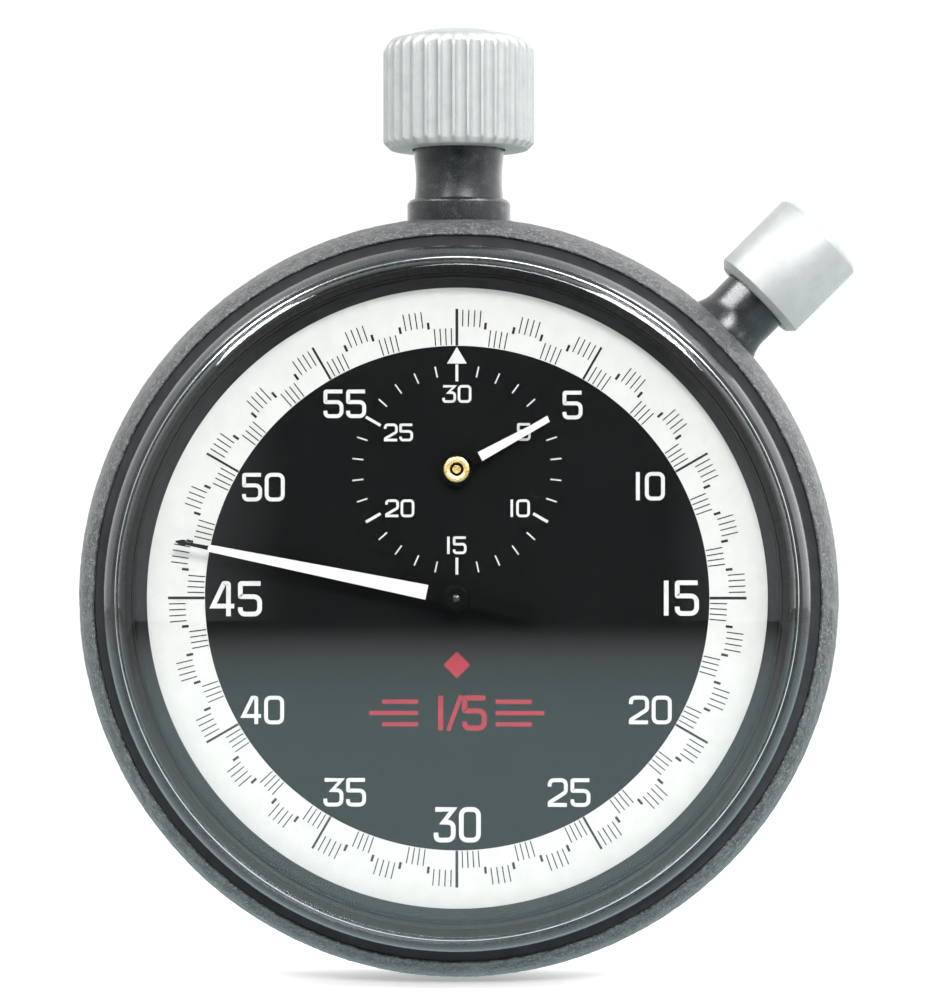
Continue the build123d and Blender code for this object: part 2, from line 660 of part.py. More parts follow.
def add_screw(start, at, length, head_radius, head_height, facing=-1):
    """Slotted screw for the open part; its head stands from start away from the thread."""
    top = start + facing * head_height
    add_disc(start, start - facing * length, at, SCREW_RADIUS - 0.02)
    add_disc(start, top, at, head_radius)
    add_slot(top, top - facing * head_height * 0.45, at, 0.18)


with BuildPart() as movement_screws:
    for foot in BARREL_BRIDGE_FEET + TRAIN_BRIDGE_FEET + (BALANCE_COCK_FOOT,):
        add_screw(BRIDGE_BACK_HEIGHT, foot, 5.2, 0.85, 0.5)
    for foot in PALLET_COCK_FEET:
        add_screw(PALLET_COCK_BACK, foot, 2.8, 0.6, 0.15)
    for clamp_angle in CLAMP_ANGLES:
        add_screw(PLATE_BACK_HEIGHT - 0.5, polar(19.4, clamp_angle), 1.6, 0.8, 0.5)
    add_screw(REGISTER_COCK_BACK + 0.4, REGISTER_COCK_FOOT, 2.6, 0.9, 0.35, facing=1)
write(movement_screws, "movement_screws")

POST_RADIUS = 0.7


def add_post(start, end, at, head_radius=1.15, head_height=0.4, foot=1.1):
    """Shouldered screw for the open part, from the plate face at start to the lever face at end."""
    facing = 1 if end > start else -1
    top = end + facing * head_height
    add_disc(start, start - facing * foot, at, SCREW_RADIUS - 0.02)
    add_disc(start, end, at, POST_RADIUS)
    add_disc(end, top, at, head_radius)
    add_slot(top, top - facing * head_height * 0.5, at, 0.2)


with BuildPart() as lever_screws:
    add_post(PLATE_BACK_HEIGHT, 4.6, OPERATING_PIVOT)
    add_post(PLATE_BACK_HEIGHT, 5.5, BRAKE_PIVOT)
    add_post(PLATE_BACK_HEIGHT, 4.6, COLUMN_WHEEL)
    add_post(PLATE_FRONT_HEIGHT, 10.25, HAMMER_PIVOT, head_height=0.35)
    add_post(BRIDGE_BACK_HEIGHT, 1.8, CLICK_PIVOT, head_height=0.3, foot=0.9)
write(lever_screws, "lever_screws")


# ---------------------------------------------------------------- wheels of the movement
def add_gear(height, thickness, at, teeth, pitch_radius, phase, spokes=0, hub=1.0):
    """Toothed wheel for the open part, solid or with spokes, centred on its arbor."""
    module = 2 * pitch_radius / teeth
    with BuildSketch(face_plane(height, at)) as gear:
        Polygon(*gear_points(teeth, pitch_radius, phase), align=None)
        if spokes:
            rim = pitch_radius - DEDENDUM * module - 0.45
            Circle(rim, mode=Mode.SUBTRACT)
            with PolarLocations(0, spokes):
                with Locations(((rim + 0.1) / 2, 0)):
                    Rectangle(rim + 0.1, 0.42)
            Circle(hub)
    extrude(gear.sketch, amount=thickness)


def add_arm(start, end, points, width):
    """Flat lever for the open part, between two heights: a bar with round ends through each point."""
    for first, second in zip(points, points[1:]):
        with BuildSketch(face_plane(start)) as bar:
            with Locations(first, second):
                Circle(width / 2)
            make_hull()
        extrude(bar.sketch, amount=end - start)


PIVOT_BACK = 3.55
PIVOT_FRONT = 7.7
ARBOR_BACK = 4.15
ARBOR_FRONT = 7.15


def add_arbor(at, radius=ARBOR_RADIUS, back=ARBOR_BACK, pivot_back=PIVOT_BACK):
    """Arbor with its two pivots for the open part."""
    add_disc(pivot_back, PIVOT_FRONT, at, PIVOT_RADIUS)
    add_disc(back, ARBOR_FRONT, at, radius)


# barrel, with its arbor, lid and spring
BARREL_TEETH = 80
BARREL_BACK = 4.3
BARREL_FRONT = 6.5
DRUM_RADIUS = 6.1
DRUM_BORE = 5.7
BARREL_JOURNAL = 0.75
BARREL_PHASE = 0.0

with BuildPart() as barrel_drum:
    add_gear(BARREL_FRONT - 0.65, 0.65, BARREL, BARREL_TEETH, BARREL_PITCH, BARREL_PHASE)
    add_disc(BARREL_BACK, BARREL_FRONT, BARREL, DRUM_RADIUS)
    add_disc(BARREL_BACK, BARREL_FRONT - 0.4, BARREL, DRUM_BORE, mode=Mode.SUBTRACT)
    add_disc(BARREL_FRONT - 0.5, BARREL_FRONT, BARREL, BARREL_JOURNAL + RUNNING_CLEARANCE, mode=Mode.SUBTRACT)
write(barrel_drum, "barrel_drum")

with BuildPart() as barrel_lid:
    add_disc(BARREL_BACK, BARREL_BACK + 0.3, BARREL, DRUM_BORE)
    add_disc(BARREL_BACK, BARREL_BACK + 0.3, BARREL, BARREL_JOURNAL + RUNNING_CLEARANCE, mode=Mode.SUBTRACT)
write(barrel_lid, "barrel_lid")

RATCHET_BACK = 2.0
RATCHET_FRONT = 2.7
RATCHET_SQUARE = 1.05
with BuildPart() as barrel_arbor:
    add_disc(BARREL_BACK + 0.35, BARREL_FRONT - 0.45, BARREL, 1.0)
    add_disc(RATCHET_FRONT, PLATE_FRONT_HEIGHT - 0.4, BARREL, BARREL_JOURNAL - 0.03)
    with BuildSketch(face_plane(RATCHET_BACK, BARREL)) as square:
        Rectangle(RATCHET_SQUARE, RATCHET_SQUARE)
    extrude(square.sketch, amount=RATCHET_FRONT - RATCHET_BACK)
    add_disc(RATCHET_BACK, RATCHET_BACK - 0.35, BARREL, 1.2)
    add_slot(RATCHET_BACK - 0.35, RATCHET_BACK - 0.2, BARREL, 0.25)
write(barrel_arbor, "barrel_arbor")

with BuildPart() as mainspring:
    add_spiral(BARREL_BACK + 0.4, 1.3, BARREL, 1.3, 0.425, 10, 0.16)
write(mainspring, "mainspring")

# winding works
RATCHET_TEETH = 38
CROWN_WHEEL_TEETH = 28
CONTRATE_TEETH = 24
WINDING_PINION_TEETH = 12
CROWN_WHEEL_HEADING = direction(CROWN_WHEEL, BARREL)
RATCHET_PHASE = meshed_phase(CROWN_WHEEL_TEETH, 90.0, CROWN_WHEEL_HEADING, RATCHET_TEETH)

with BuildPart() as ratchet_wheel:
    add_gear(RATCHET_BACK, RATCHET_FRONT - RATCHET_BACK, BARREL, RATCHET_TEETH, RATCHET_PITCH, RATCHET_PHASE)
    with BuildSketch(face_plane(RATCHET_BACK, BARREL)) as square:
        Rectangle(RATCHET_SQUARE, RATCHET_SQUARE)
    extrude(square.sketch, amount=RATCHET_FRONT - RATCHET_BACK, mode=Mode.SUBTRACT)
write(ratchet_wheel, "ratchet_wheel")

CROWN_CORE_RADIUS = 1.5
CONTRATE_ROOT = CONTRATE_HEIGHT - DEDENDUM * WINDING_MODULE
CONTRATE_TIP = CONTRATE_HEIGHT + ADDENDUM * WINDING_MODULE
CONTRATE_STEP = 2 * pi * CONTRATE_PITCH / CONTRATE_TEETH
with BuildPart() as crown_wheel:
    add_gear(RATCHET_BACK, 0.8, CROWN_WHEEL, CROWN_WHEEL_TEETH, CROWN_WHEEL_PITCH, 90.0)
    add_disc(RATCHET_BACK + 0.5, CONTRATE_ROOT, CROWN_WHEEL, CONTRATE_PITCH + 0.45)
    add_disc(RATCHET_BACK + 0.8, CONTRATE_TIP, CROWN_WHEEL, CONTRATE_PITCH - 0.45, mode=Mode.SUBTRACT)
    for tooth in range(CONTRATE_TEETH):
        tooth_angle = 90 + 360 / CONTRATE_TEETH * tooth
        outward = (cos(radians(tooth_angle)), 0, sin(radians(tooth_angle)))
        foot = Plane(
            origin=(
                CROWN_WHEEL[0] + outward[0] * (CONTRATE_PITCH - 0.44),
                -CONTRATE_ROOT,
                CROWN_WHEEL[1] + outward[2] * (CONTRATE_PITCH - 0.44),
            ),
            x_dir=(-outward[2], 0, outward[0]),
            z_dir=outward,
        )
        tall = CONTRATE_TIP - CONTRATE_ROOT
        toward = -1 if foot.y_dir.Y > 0 else 1
        with BuildSketch(foot) as profile:
            Polygon(
                (-ROOT_SHARE * CONTRATE_STEP, -toward * 0.1),
                (ROOT_SHARE * CONTRATE_STEP, -toward * 0.1),
                (TIP_SHARE * CONTRATE_STEP, toward * tall),
                (-TIP_SHARE * CONTRATE_STEP, toward * tall),
                align=None,
            )
        extrude(profile.sketch, amount=0.88)
    add_disc(RATCHET_BACK, CONTRATE_TIP, CROWN_WHEEL, CROWN_CORE_RADIUS + RUNNING_CLEARANCE, mode=Mode.SUBTRACT)
write(crown_wheel, "crown_wheel")

with BuildPart() as crown_wheel_core:
    add_disc(RATCHET_BACK - 0.05, BRIDGE_BACK_HEIGHT, CROWN_WHEEL, CROWN_CORE_RADIUS)
    add_disc(RATCHET_BACK - 0.05, RATCHET_BACK - 0.35, CROWN_WHEEL, 2.2)
    add_disc(BRIDGE_BACK_HEIGHT, BRIDGE_FRONT_HEIGHT - 0.3, CROWN_WHEEL, SCREW_RADIUS - 0.02)
    add_slot(RATCHET_BACK - 0.35, RATCHET_BACK - 0.2, CROWN_WHEEL, 0.25)
write(crown_wheel_core, "crown_wheel_core")

CLICK_BEAK = between(BARREL, CLICK_PIVOT, RATCHET_PITCH + 0.75)
with BuildPart() as click:
    add_disc(2.0, 2.75, CLICK_PIVOT, 1.25)
    add_arm(2.0, 2.6, (CLICK_PIVOT, (CLICK_BEAK[0] - 0.2, CLICK_BEAK[1] + 1.3)), 1.0)
    add_arm(2.0, 2.6, ((CLICK_BEAK[0] - 0.2, CLICK_BEAK[1] + 1.3), (CLICK_BEAK[0] - 0.1, CLICK_BEAK[1] + 0.9)), 0.6)
    add_disc(2.0, 2.75, CLICK_PIVOT, POST_RADIUS + RUNNING_CLEARANCE, mode=Mode.SUBTRACT)
write(click, "click")


def stem_plane(z):
    """Plane square to the crown's axis."""
    return Plane(origin=(0, -STEM_HEIGHT, z), x_dir=(1, 0, 0), z_dir=(0, 0, 1))


WINDING_PINION_CENTRE = CROWN_WHEEL[1] + CONTRATE_PITCH
STEM_SQUARE = 1.3
with BuildPart() as winding_pinion:
    with BuildSketch(stem_plane(WINDING_PINION_CENTRE - 0.6)):
        Polygon(*gear_points(WINDING_PINION_TEETH, WINDING_PINION_PITCH, 75.0), align=None)
    extrude(amount=1.2)
    with BuildSketch(stem_plane(WINDING_PINION_CENTRE + 0.6)):
        Circle(1.25)
    extrude(amount=1.5)
    with BuildSketch(stem_plane(WINDING_PINION_CENTRE - 0.6)):
        Rectangle(STEM_SQUARE + 2 * RUNNING_CLEARANCE, STEM_SQUARE + 2 * RUNNING_CLEARANCE)
    extrude(amount=3, mode=Mode.SUBTRACT)
write(winding_pinion, "winding_pinion")

with BuildPart() as winding_stem:
    with BuildSketch(stem_plane(9.8)):
        Circle(0.5)
    extrude(amount=3.0)
    with BuildSketch(stem_plane(12.7)):
        Rectangle(STEM_SQUARE, STEM_SQUARE)
    extrude(amount=6.1)
    with BuildSketch(stem_plane(18.8)):
        Circle(1.0)
    extrude(amount=3.8)
    with BuildSketch(stem_plane(22.6)):
        Circle(1.2)
    extrude(amount=17.0)
write(winding_stem, "winding_stem")

with BuildPart() as push_sleeve:
    with BuildSketch(stem_plane(20.9)):
        Circle(2.15)
    extrude(amount=2.5)
    with BuildSketch(stem_plane(23.4)):
        Circle(1.95)
    extrude(amount=13.6)
    with BuildSketch(stem_plane(20.9)):
        Circle(1.2 + RUNNING_CLEARANCE)
    extrude(amount=16.1, mode=Mode.SUBTRACT)
write(push_sleeve, "push_sleeve")

CROWN_RECESS_TOP = 37.2
CROWN_SHOULDER = (CROWN_RADIUS - 0.5, CROWN_TOP - 0.85)
FLUTE_RADIUS = 0.4
with BuildPart() as crown:
    with BuildSketch(Plane(origin=(0, -STEM_HEIGHT, 0), x_dir=(1, 0, 0), z_dir=(0, -1, 0))):
        with BuildLine():
            Polyline(
                (3.4, CROWN_BOTTOM),
                (CROWN_RADIUS - 0.5, CROWN_BOTTOM),
                (CROWN_RADIUS, CROWN_BOTTOM + 0.5),
                (CROWN_RADIUS, CROWN_TOP - 1.4),
                CROWN_SHOULDER,
            )
            ThreePointArc(CROWN_SHOULDER, cap_point(CROWN_SHOULDER, CROWN_TOP, 2.6), (0, CROWN_TOP))
            Polyline(
                (0, CROWN_TOP),
                (0, 39.6),
                (1.2, 39.6),
                (1.2, CROWN_RECESS_TOP),
                (3.4, CROWN_RECESS_TOP),
                (3.4, CROWN_BOTTOM),
            )
        make_face()
    revolve(axis=Axis((0, -STEM_HEIGHT, 0), (0, 0, 1)))
    with BuildSketch(stem_plane(CROWN_BOTTOM - 1)):
        with PolarLocations(CROWN_RADIUS + 0.16, CROWN_FLUTES):
            Circle(FLUTE_RADIUS)
    extrude(amount=CROWN_TOP - CROWN_BOTTOM + 2, mode=Mode.SUBTRACT)
write(crown, "crown")


def add_coil_spring(start, end, axis_out, turns, mean_radius, wire):
    """Compression spring for the open part, wound round a line square to the dial's axis."""
    base = (axis_out[0] * start, -STEM_HEIGHT, axis_out[2] * start)
    with BuildLine() as path:
        Helix((end - start) / turns, end - start, mean_radius, center=base, direction=axis_out)
    with BuildSketch(Plane(origin=path.line @ 0, z_dir=path.line % 0)) as section:
        Circle(wire / 2)
    sweep(section.sketch, path=path.line, is_frenet=True)


with BuildPart() as crown_spring:
    add_coil_spring(28.3, 36.9, (0, 0, 1), 7, 2.4, 0.34)
write(crown_spring, "crown_spring")

with BuildPart() as reset_spring:
    add_coil_spring(27.7, 35.1, reset_out, 7, 1.4, 0.32)
write(reset_spring, "reset_spring")

RESET_STEM_TIP = 19.5
with BuildPart() as reset_stem:
    with BuildSketch(RESET_SECTION):
        with BuildLine():
            ThreePointArc((RESET_STEM_TIP, 0), (RESET_STEM_TIP + 0.12, 0.42), (RESET_STEM_TIP + 0.5, 0.8))
            Polyline(
                (RESET_STEM_TIP + 0.5, 0.8),
                (23.3, 0.8),
                (23.3, 0.95),
                (27.3, 0.95),
                (27.3, 0.8),
                (36.2, 0.8),
                (36.2, 0),
                (RESET_STEM_TIP, 0),
            )
        make_face()
    revolve(axis=RESET_AXIS)
write(reset_stem, "reset_stem")

# the cap is slightly domed, so its outer face is a shallow spherical cap about the button's axis
RESET_CAP_MIDDLE = cap_point((RESET_RADIUS - 0.45, RESET_OUTER - 0.18), RESET_OUTER, 1.7)[::-1]
with BuildPart() as reset_button:
    with BuildSketch(RESET_SECTION):
        with BuildLine():
            Polyline(
                (RESET_INNER, RESET_TUBE_RADIUS + 0.1),
                (RESET_INNER, RESET_RADIUS - 0.45),
                (RESET_INNER + 0.45, RESET_RADIUS),
                (RESET_OUTER - 0.6, RESET_RADIUS),
            )
            ThreePointArc(
                (RESET_OUTER - 0.6, RESET_RADIUS),
                (RESET_OUTER - 0.32, RESET_RADIUS - 0.12),
                (RESET_OUTER - 0.18, RESET_RADIUS - 0.45),
            )
            ThreePointArc((RESET_OUTER - 0.18, RESET_RADIUS - 0.45), RESET_CAP_MIDDLE, (RESET_OUTER, 0))
            Polyline(
                (RESET_OUTER, 0),
                (36.2, 0),
                (36.2, 0.8),
                (35.3, 0.8),
                (35.3, RESET_TUBE_RADIUS + 0.1),
                (RESET_INNER, RESET_TUBE_RADIUS + 0.1),
            )
        make_face()
    revolve(axis=RESET_AXIS)
write(reset_button, "reset_button")

# going train, from the barrel to the escape wheel
INTERMEDIATE_PHASE = meshed_phase(BARREL_TEETH, BARREL_PHASE, direction(BARREL, INTERMEDIATE), 10)
with BuildPart() as intermediate_wheel:
    add_arbor(INTERMEDIATE)
    add_gear(5.75, 0.8, INTERMEDIATE, 10, INTERMEDIATE_PINION_PITCH, INTERMEDIATE_PHASE)
    add_gear(6.7, 0.25, INTERMEDIATE, 64, INTERMEDIATE_PITCH, INTERMEDIATE_PHASE, spokes=5)
write(intermediate_wheel, "intermediate_wheel")

THIRD_PHASE = meshed_phase(64, INTERMEDIATE_PHASE, direction(INTERMEDIATE, THIRD), 8)
with BuildPart() as third_pinion:
    add_arbor(THIRD)
    add_gear(6.25, 0.8, THIRD, 8, THIRD_PINION_PITCH, THIRD_PHASE)
write(third_pinion, "third_pinion")

with BuildPart() as third_wheel:
    add_gear(5.9, 0.25, THIRD, 60, THIRD_PITCH, THIRD_PHASE, spokes=5)
    add_disc(5.9, 6.15, THIRD, ARBOR_RADIUS, mode=Mode.SUBTRACT)
write(third_wheel, "third_wheel")

CENTRE_PHASE = meshed_phase(60, THIRD_PHASE, direction(THIRD, CENTRE), 8)
CENTRE_ARBOR_RADIUS = 0.38
REGISTER_PINION_HEIGHT = 8.75
with BuildPart() as centre_arbor:
    add_disc(PIVOT_BACK, ARBOR_BACK, CENTRE, PIVOT_RADIUS)
    add_disc(ARBOR_BACK, 7.1, CENTRE, CENTRE_ARBOR_RADIUS)
    add_disc(7.1, REGISTER_PINION_HEIGHT, CENTRE, 0.5)
    add_disc(REGISTER_PINION_HEIGHT, 12.55, CENTRE, CENTRE_ARBOR_RADIUS)
    add_gear(5.8, 0.5, CENTRE, 8, CENTRE_PINION_PITCH, CENTRE_PHASE)
    add_gear(REGISTER_PINION_HEIGHT, 0.4, CENTRE, 10, REGISTER_PINION_PITCH, CENTRE_PHASE)
write(centre_arbor, "centre_arbor")

with BuildPart() as fourth_wheel:
    add_gear(5.0, 0.25, CENTRE, 70, FOURTH_PITCH, CENTRE_PHASE, spokes=5)
    add_disc(5.0, 5.25, CENTRE, CENTRE_ARBOR_RADIUS, mode=Mode.SUBTRACT)
write(fourth_wheel, "fourth_wheel")

ESCAPE_TIP = 2.55
ESCAPE_PHASE = meshed_phase(70, CENTRE_PHASE, direction(CENTRE, ESCAPE), 7)
with BuildPart() as escape_wheel:
    add_arbor(ESCAPE)
    add_gear(4.85, 0.55, ESCAPE, 7, ESCAPE_PINION_PITCH, ESCAPE_PHASE)
    with BuildSketch(face_plane(6.15, ESCAPE)) as teeth_ring:
        Polygon(*saw_points(15, 2.0, ESCAPE_TIP, 0.3), align=None)
        Circle(1.7, mode=Mode.SUBTRACT)
        with PolarLocations(0, 4):
            with Locations((0.9, 0)):
                Rectangle(1.8, 0.32)
        Circle(0.6)
    extrude(teeth_ring.sketch, amount=0.22)
write(escape_wheel, "escape_wheel")

# lever escapement and balance
FORK_BACK = 6.45
FORK_FRONT = 6.75
STONE_RADIUS = 2.66
STONE_SPREAD = 30.0


def escape_point(radius, angle):
    """Point at a radius and angle from the escape wheel's centre."""
    offset = polar(radius, angle)
    return (ESCAPE[0] + offset[0], ESCAPE[1] + offset[1])


with BuildPart() as pallet_fork:
    add_disc(PALLET_COCK_BACK + 0.05, PIVOT_FRONT, PALLET, PIVOT_RADIUS)
    add_disc(PALLET_COCK_BACK + 0.05, ARBOR_FRONT, PALLET, 0.25)
    for side in (-1, 1):
        stone_angle = PALLET_HEADING + side * STONE_SPREAD
        add_arm(FORK_BACK, FORK_FRONT, (PALLET, escape_point(STONE_RADIUS + 0.3, stone_angle)), 0.5)
        with BuildSketch(face_plane(6.1, escape_point(STONE_RADIUS + 0.3, stone_angle))) as stone:
            Rectangle(0.6, 0.3, rotation=stone_angle)
        extrude(stone.sketch, amount=FORK_BACK - 6.1 + 0.1)
    add_arm(FORK_BACK, FORK_FRONT, (PALLET, escape_point(5.9, PALLET_HEADING)), 0.4)
    for side in (-1, 1):
        add_arm(
            FORK_BACK,
            FORK_FRONT,
            (escape_point(5.85, PALLET_HEADING), escape_point(6.15, PALLET_HEADING + side * 3.2)),
            0.2,
        )
write(pallet_fork, "pallet_fork")

BALANCE_BACK = 4.4
BALANCE_FRONT = 5.1
with BuildPart() as balance_wheel:
    with BuildSketch(face_plane(BALANCE_BACK, BALANCE)) as rim:
        Circle(BALANCE_RADIUS)
        Circle(BALANCE_RADIUS - 0.5, mode=Mode.SUBTRACT)
    extrude(rim.sketch, amount=BALANCE_FRONT - BALANCE_BACK)
    with BuildSketch(face_plane(BALANCE_BACK + 0.2, BALANCE)) as arms:
        Rectangle(2 * BALANCE_RADIUS - 0.6, 0.6, rotation=25)
        Circle(0.9)
        Circle(0.35, mode=Mode.SUBTRACT)
    extrude(arms.sketch, amount=0.3)
write(balance_wheel, "balance_wheel")

with BuildPart() as balance_staff:
    add_disc(BALANCE_STAFF_TOP, PIVOT_FRONT, BALANCE, PIVOT_RADIUS)
    add_disc(3.7, ARBOR_FRONT, BALANCE, 0.25)
    add_disc(BALANCE_BACK + 0.2, BALANCE_BACK + 0.5, BALANCE, 0.35)
    add_disc(5.9, 6.1, BALANCE, 0.75)
    add_disc(6.0, 6.8, escape_point(7.3 + 0.5, PALLET_HEADING), 0.12)
write(balance_staff, "balance_staff")

with BuildPart() as hairspring:
    add_spiral(4.0, 0.2, BALANCE, 0.32, 0.36, 7, 0.07)
write(hairspring, "hairspring")

with BuildPart() as regulator:
    with BuildSketch(face_plane(BRIDGE_BACK_HEIGHT - 0.4, BALANCE)) as index:
        Circle(1.25)
        with Locations((-1.9, 1.9)):
            Rectangle(3.4, 0.4, rotation=135)
        Circle(0.62, mode=Mode.SUBTRACT)
    extrude(index.sketch, amount=0.35)
write(regulator, "regulator")

# thirty-minute register, on the dial side
IDLER_HEADING = direction(CENTRE, IDLER)
IDLER_PHASE = meshed_phase(10, CENTRE_PHASE, IDLER_HEADING, 50)
with BuildPart() as register_idler:
    add_disc(PLATE_BACK_HEIGHT + 0.15, REGISTER_COCK_BACK + 0.35, IDLER, PIVOT_RADIUS)
    add_disc(7.8, REGISTER_COCK_BACK - 0.05, IDLER, ARBOR_RADIUS)
    add_gear(8.8, 0.3, IDLER, 50, IDLER_PITCH, IDLER_PHASE, spokes=4)
    add_gear(9.1, 0.6, IDLER, 10, IDLER_PINION_PITCH, IDLER_PHASE)
write(register_idler, "register_idler")

MINUTE_PHASE = meshed_phase(10, IDLER_PHASE, direction(IDLER, REGISTER), 60)
with BuildPart() as minute_wheel:
    add_disc(PLATE_BACK_HEIGHT + 0.1, 12.0, REGISTER, ARBOR_RADIUS)
    add_gear(9.3, 0.3, REGISTER, 60, MINUTE_WHEEL_PITCH, MINUTE_PHASE, spokes=4)
write(minute_wheel, "minute_wheel")

HEART_SMALL = 0.8
HEART_LARGE = 2.2
HEART_BACK = 9.8
HEART_FRONT = 10.25


def add_heart(at, lobe_angle, bore):
    """Heart-shaped reset cam for the open part; its radius grows evenly from notch to lobe."""
    steps = 9
    with BuildSketch(face_plane(HEART_BACK, at)) as heart:
        for side in (-1, 1):
            with BuildLine():
                edge = Spline(
                    *[
                        polar(
                            HEART_SMALL + (HEART_LARGE - HEART_SMALL) * step / steps,
                            lobe_angle + 180 + side * 180 * step / steps,
                        )
                        for step in range(steps + 1)
                    ]
                )
                Line(edge @ 1, edge @ 0)
            make_face()
        Circle(bore, mode=Mode.SUBTRACT)
    extrude(heart.sketch, amount=HEART_FRONT - HEART_BACK)


with BuildPart() as seconds_heart:
    add_heart(CENTRE, -30.0, CENTRE_ARBOR_RADIUS)
write(seconds_heart, "seconds_heart")

with BuildPart() as minute_heart:
    add_heart(REGISTER, 150.0, ARBOR_RADIUS)
write(minute_heart, "minute_heart")

# levers for start, stop and return to zero
HAMMER_BACK = 9.75
HAMMER_FRONT = 10.2
HAMMER_SECONDS_FACE = 3.5
HAMMER_MINUTES_FACE = 4.5
HAMMER_EAR = (polar(18.7, RESET_ANGLE)[0] + 0.64, polar(18.7, RESET_ANGLE)[1] - 0.64)
with BuildPart() as reset_hammer:
    add_disc(HAMMER_BACK, HAMMER_FRONT, HAMMER_PIVOT, 1.7)
    add_arm(HAMMER_BACK, HAMMER_FRONT, (HAMMER_PIVOT, (4.9, -0.6), (5.5, 9.1), (8.0, 12.2), HAMMER_EAR), 1.4)
    add_arm(HAMMER_BACK, HAMMER_FRONT, (HAMMER_PIVOT, (8.3, -12.9)), 1.1)
    for face_x, face_y in ((HAMMER_SECONDS_FACE, 0.0), (HAMMER_MINUTES_FACE, REGISTER_OFFSET)):
        with BuildSketch(face_plane(HAMMER_BACK, (face_x + 0.75, face_y))) as pad:
            Rectangle(1.5, 2.4)
        extrude(pad.sketch, amount=HAMMER_FRONT - HAMMER_BACK)
    with BuildSketch(face_plane(STEM_HEIGHT - 0.9, HAMMER_EAR)) as ear:
        Rectangle(0.8, 3.0, rotation=RESET_ANGLE)
    extrude(ear.sketch, amount=HAMMER_FRONT - STEM_HEIGHT + 0.9)
    add_disc(HAMMER_BACK, HAMMER_FRONT, HAMMER_PIVOT, POST_RADIUS + RUNNING_CLEARANCE, mode=Mode.SUBTRACT)
write(reset_hammer, "reset_hammer")

OPERATING_NOSE = (1.95, 20.5)
with BuildPart() as operating_lever:
    add_disc(4.65, 5.35, OPERATING_PIVOT, 1.6)
    add_arm(4.65, 5.35, (OPERATING_PIVOT, OPERATING_NOSE), 0.7)
    add_arm(4.65, 5.35, (OPERATING_PIVOT, (8.3, 12.0), (8.9, 8.9)), 0.8)
    add_disc(4.65, 5.35, OPERATING_PIVOT, POST_RADIUS + RUNNING_CLEARANCE, mode=Mode.SUBTRACT)
write(operating_lever, "operating_lever")

with BuildPart() as column_wheel:
    with BuildSketch(face_plane(4.65, COLUMN_WHEEL)) as ratchet:
        Polygon(*saw_points(12, 2.15, 2.6, 0.25), align=None)
    extrude(ratchet.sketch, amount=0.65)
    with BuildSketch(face_plane(5.3, COLUMN_WHEEL)) as columns:
        Circle(2.05)
        Circle(1.35, mode=Mode.SUBTRACT)
        with PolarLocations(1.7, 6):
            Rectangle(1.2, 0.9, mode=Mode.SUBTRACT)
    extrude(columns.sketch, amount=1.3)
    add_disc(4.65, 7.0, COLUMN_WHEEL, POST_RADIUS + RUNNING_CLEARANCE, mode=Mode.SUBTRACT)
write(column_wheel, "column_wheel")

BRAKE_PAD_RADIUS = 0.4
BRAKE_PAD_ANGLE = 20.0
BRAKE_REACH = polar(BALANCE_RADIUS + RUNNING_CLEARANCE + BRAKE_PAD_RADIUS, BRAKE_PAD_ANGLE)
BRAKE_PAD = (BALANCE[0] + BRAKE_REACH[0], BALANCE[1] + BRAKE_REACH[1])
with BuildPart() as brake_lever:
    add_disc(5.55, 6.1, BRAKE_PIVOT, 1.5)
    add_arm(5.55, 6.1, (BRAKE_PAD, (16.6, -3.6), BRAKE_PIVOT, (16.6, 3.6), (15.0, 5.0)), 0.8)
    add_disc(BALANCE_BACK + 0.1, 5.6, BRAKE_PAD, BRAKE_PAD_RADIUS)
    add_disc(5.55, 6.1, BRAKE_PIVOT, POST_RADIUS + RUNNING_CLEARANCE, mode=Mode.SUBTRACT)
write(brake_lever, "brake_lever")

with BuildPart() as lever_springs:
    add_arm(9.85, 10.1, ((14.6, -7.4), (11.6, -12.6), (9.7, -13.2)), 0.35)
    add_disc(PLATE_FRONT_HEIGHT, 10.1, (14.6, -7.4), 1.0)
    add_arm(4.8, 5.1, ((17.0, 10.8), (16.4, 8.6), (15.95, 9.15)), 0.3)
    add_disc(4.8, PLATE_BACK_HEIGHT, (17.0, 10.8), 0.8)
    add_arm(2.15, 2.45, ((-14.8, 13.4), (-17.4, 12.2), (-19.2, 9.0), (-19.1, 6.4)), 0.25)
    add_disc(2.15, BRIDGE_BACK_HEIGHT, (-14.8, 13.4), 0.8)
write(lever_springs, "lever_springs")

# ---------------------------------------------------------------- hands
SECONDS_ANGLE = 90 - 281.45
MINUTE_ANGLE = 90 - 61.4
SECONDS_HAND_HEIGHT = 12.35
MINUTE_HAND_HEIGHT = 11.7


def hand_points(angle, outline):
    """Points of a hand from pairs of distance along it and half width, mirrored about its line."""
    across = polar(1, angle + 90)
    sides = [(distance, half) for distance, half in outline]
    sides += [(distance, -half) for distance, half in reversed(outline)]
    return [
        (
            polar(distance, angle)[0] + across[0] * half,
            polar(distance, angle)[1] + across[1] * half,
        )
        for distance, half in sides
    ]


with BuildPart() as seconds_hand:
    outline = (
        (-5.6, 0.62),
        (-1.0, 0.36),
        (2.13, 0.53),
        (17.9, 0.25),
        (17.95, 0.17),
        (19.5, 0.17),
        (19.5, 0.27),
        (20.2, 0.04),
    )
    with BuildSketch(face_plane(SECONDS_HAND_HEIGHT)) as blade:
        Polygon(*hand_points(SECONDS_ANGLE, outline), align=None)
    extrude(blade.sketch, amount=0.2)
    add_disc(11.8, 12.75, CENTRE, 1.0)
    add_disc(11.8, 12.55, CENTRE, CENTRE_ARBOR_RADIUS, mode=Mode.SUBTRACT)
write(seconds_hand, "seconds_hand")

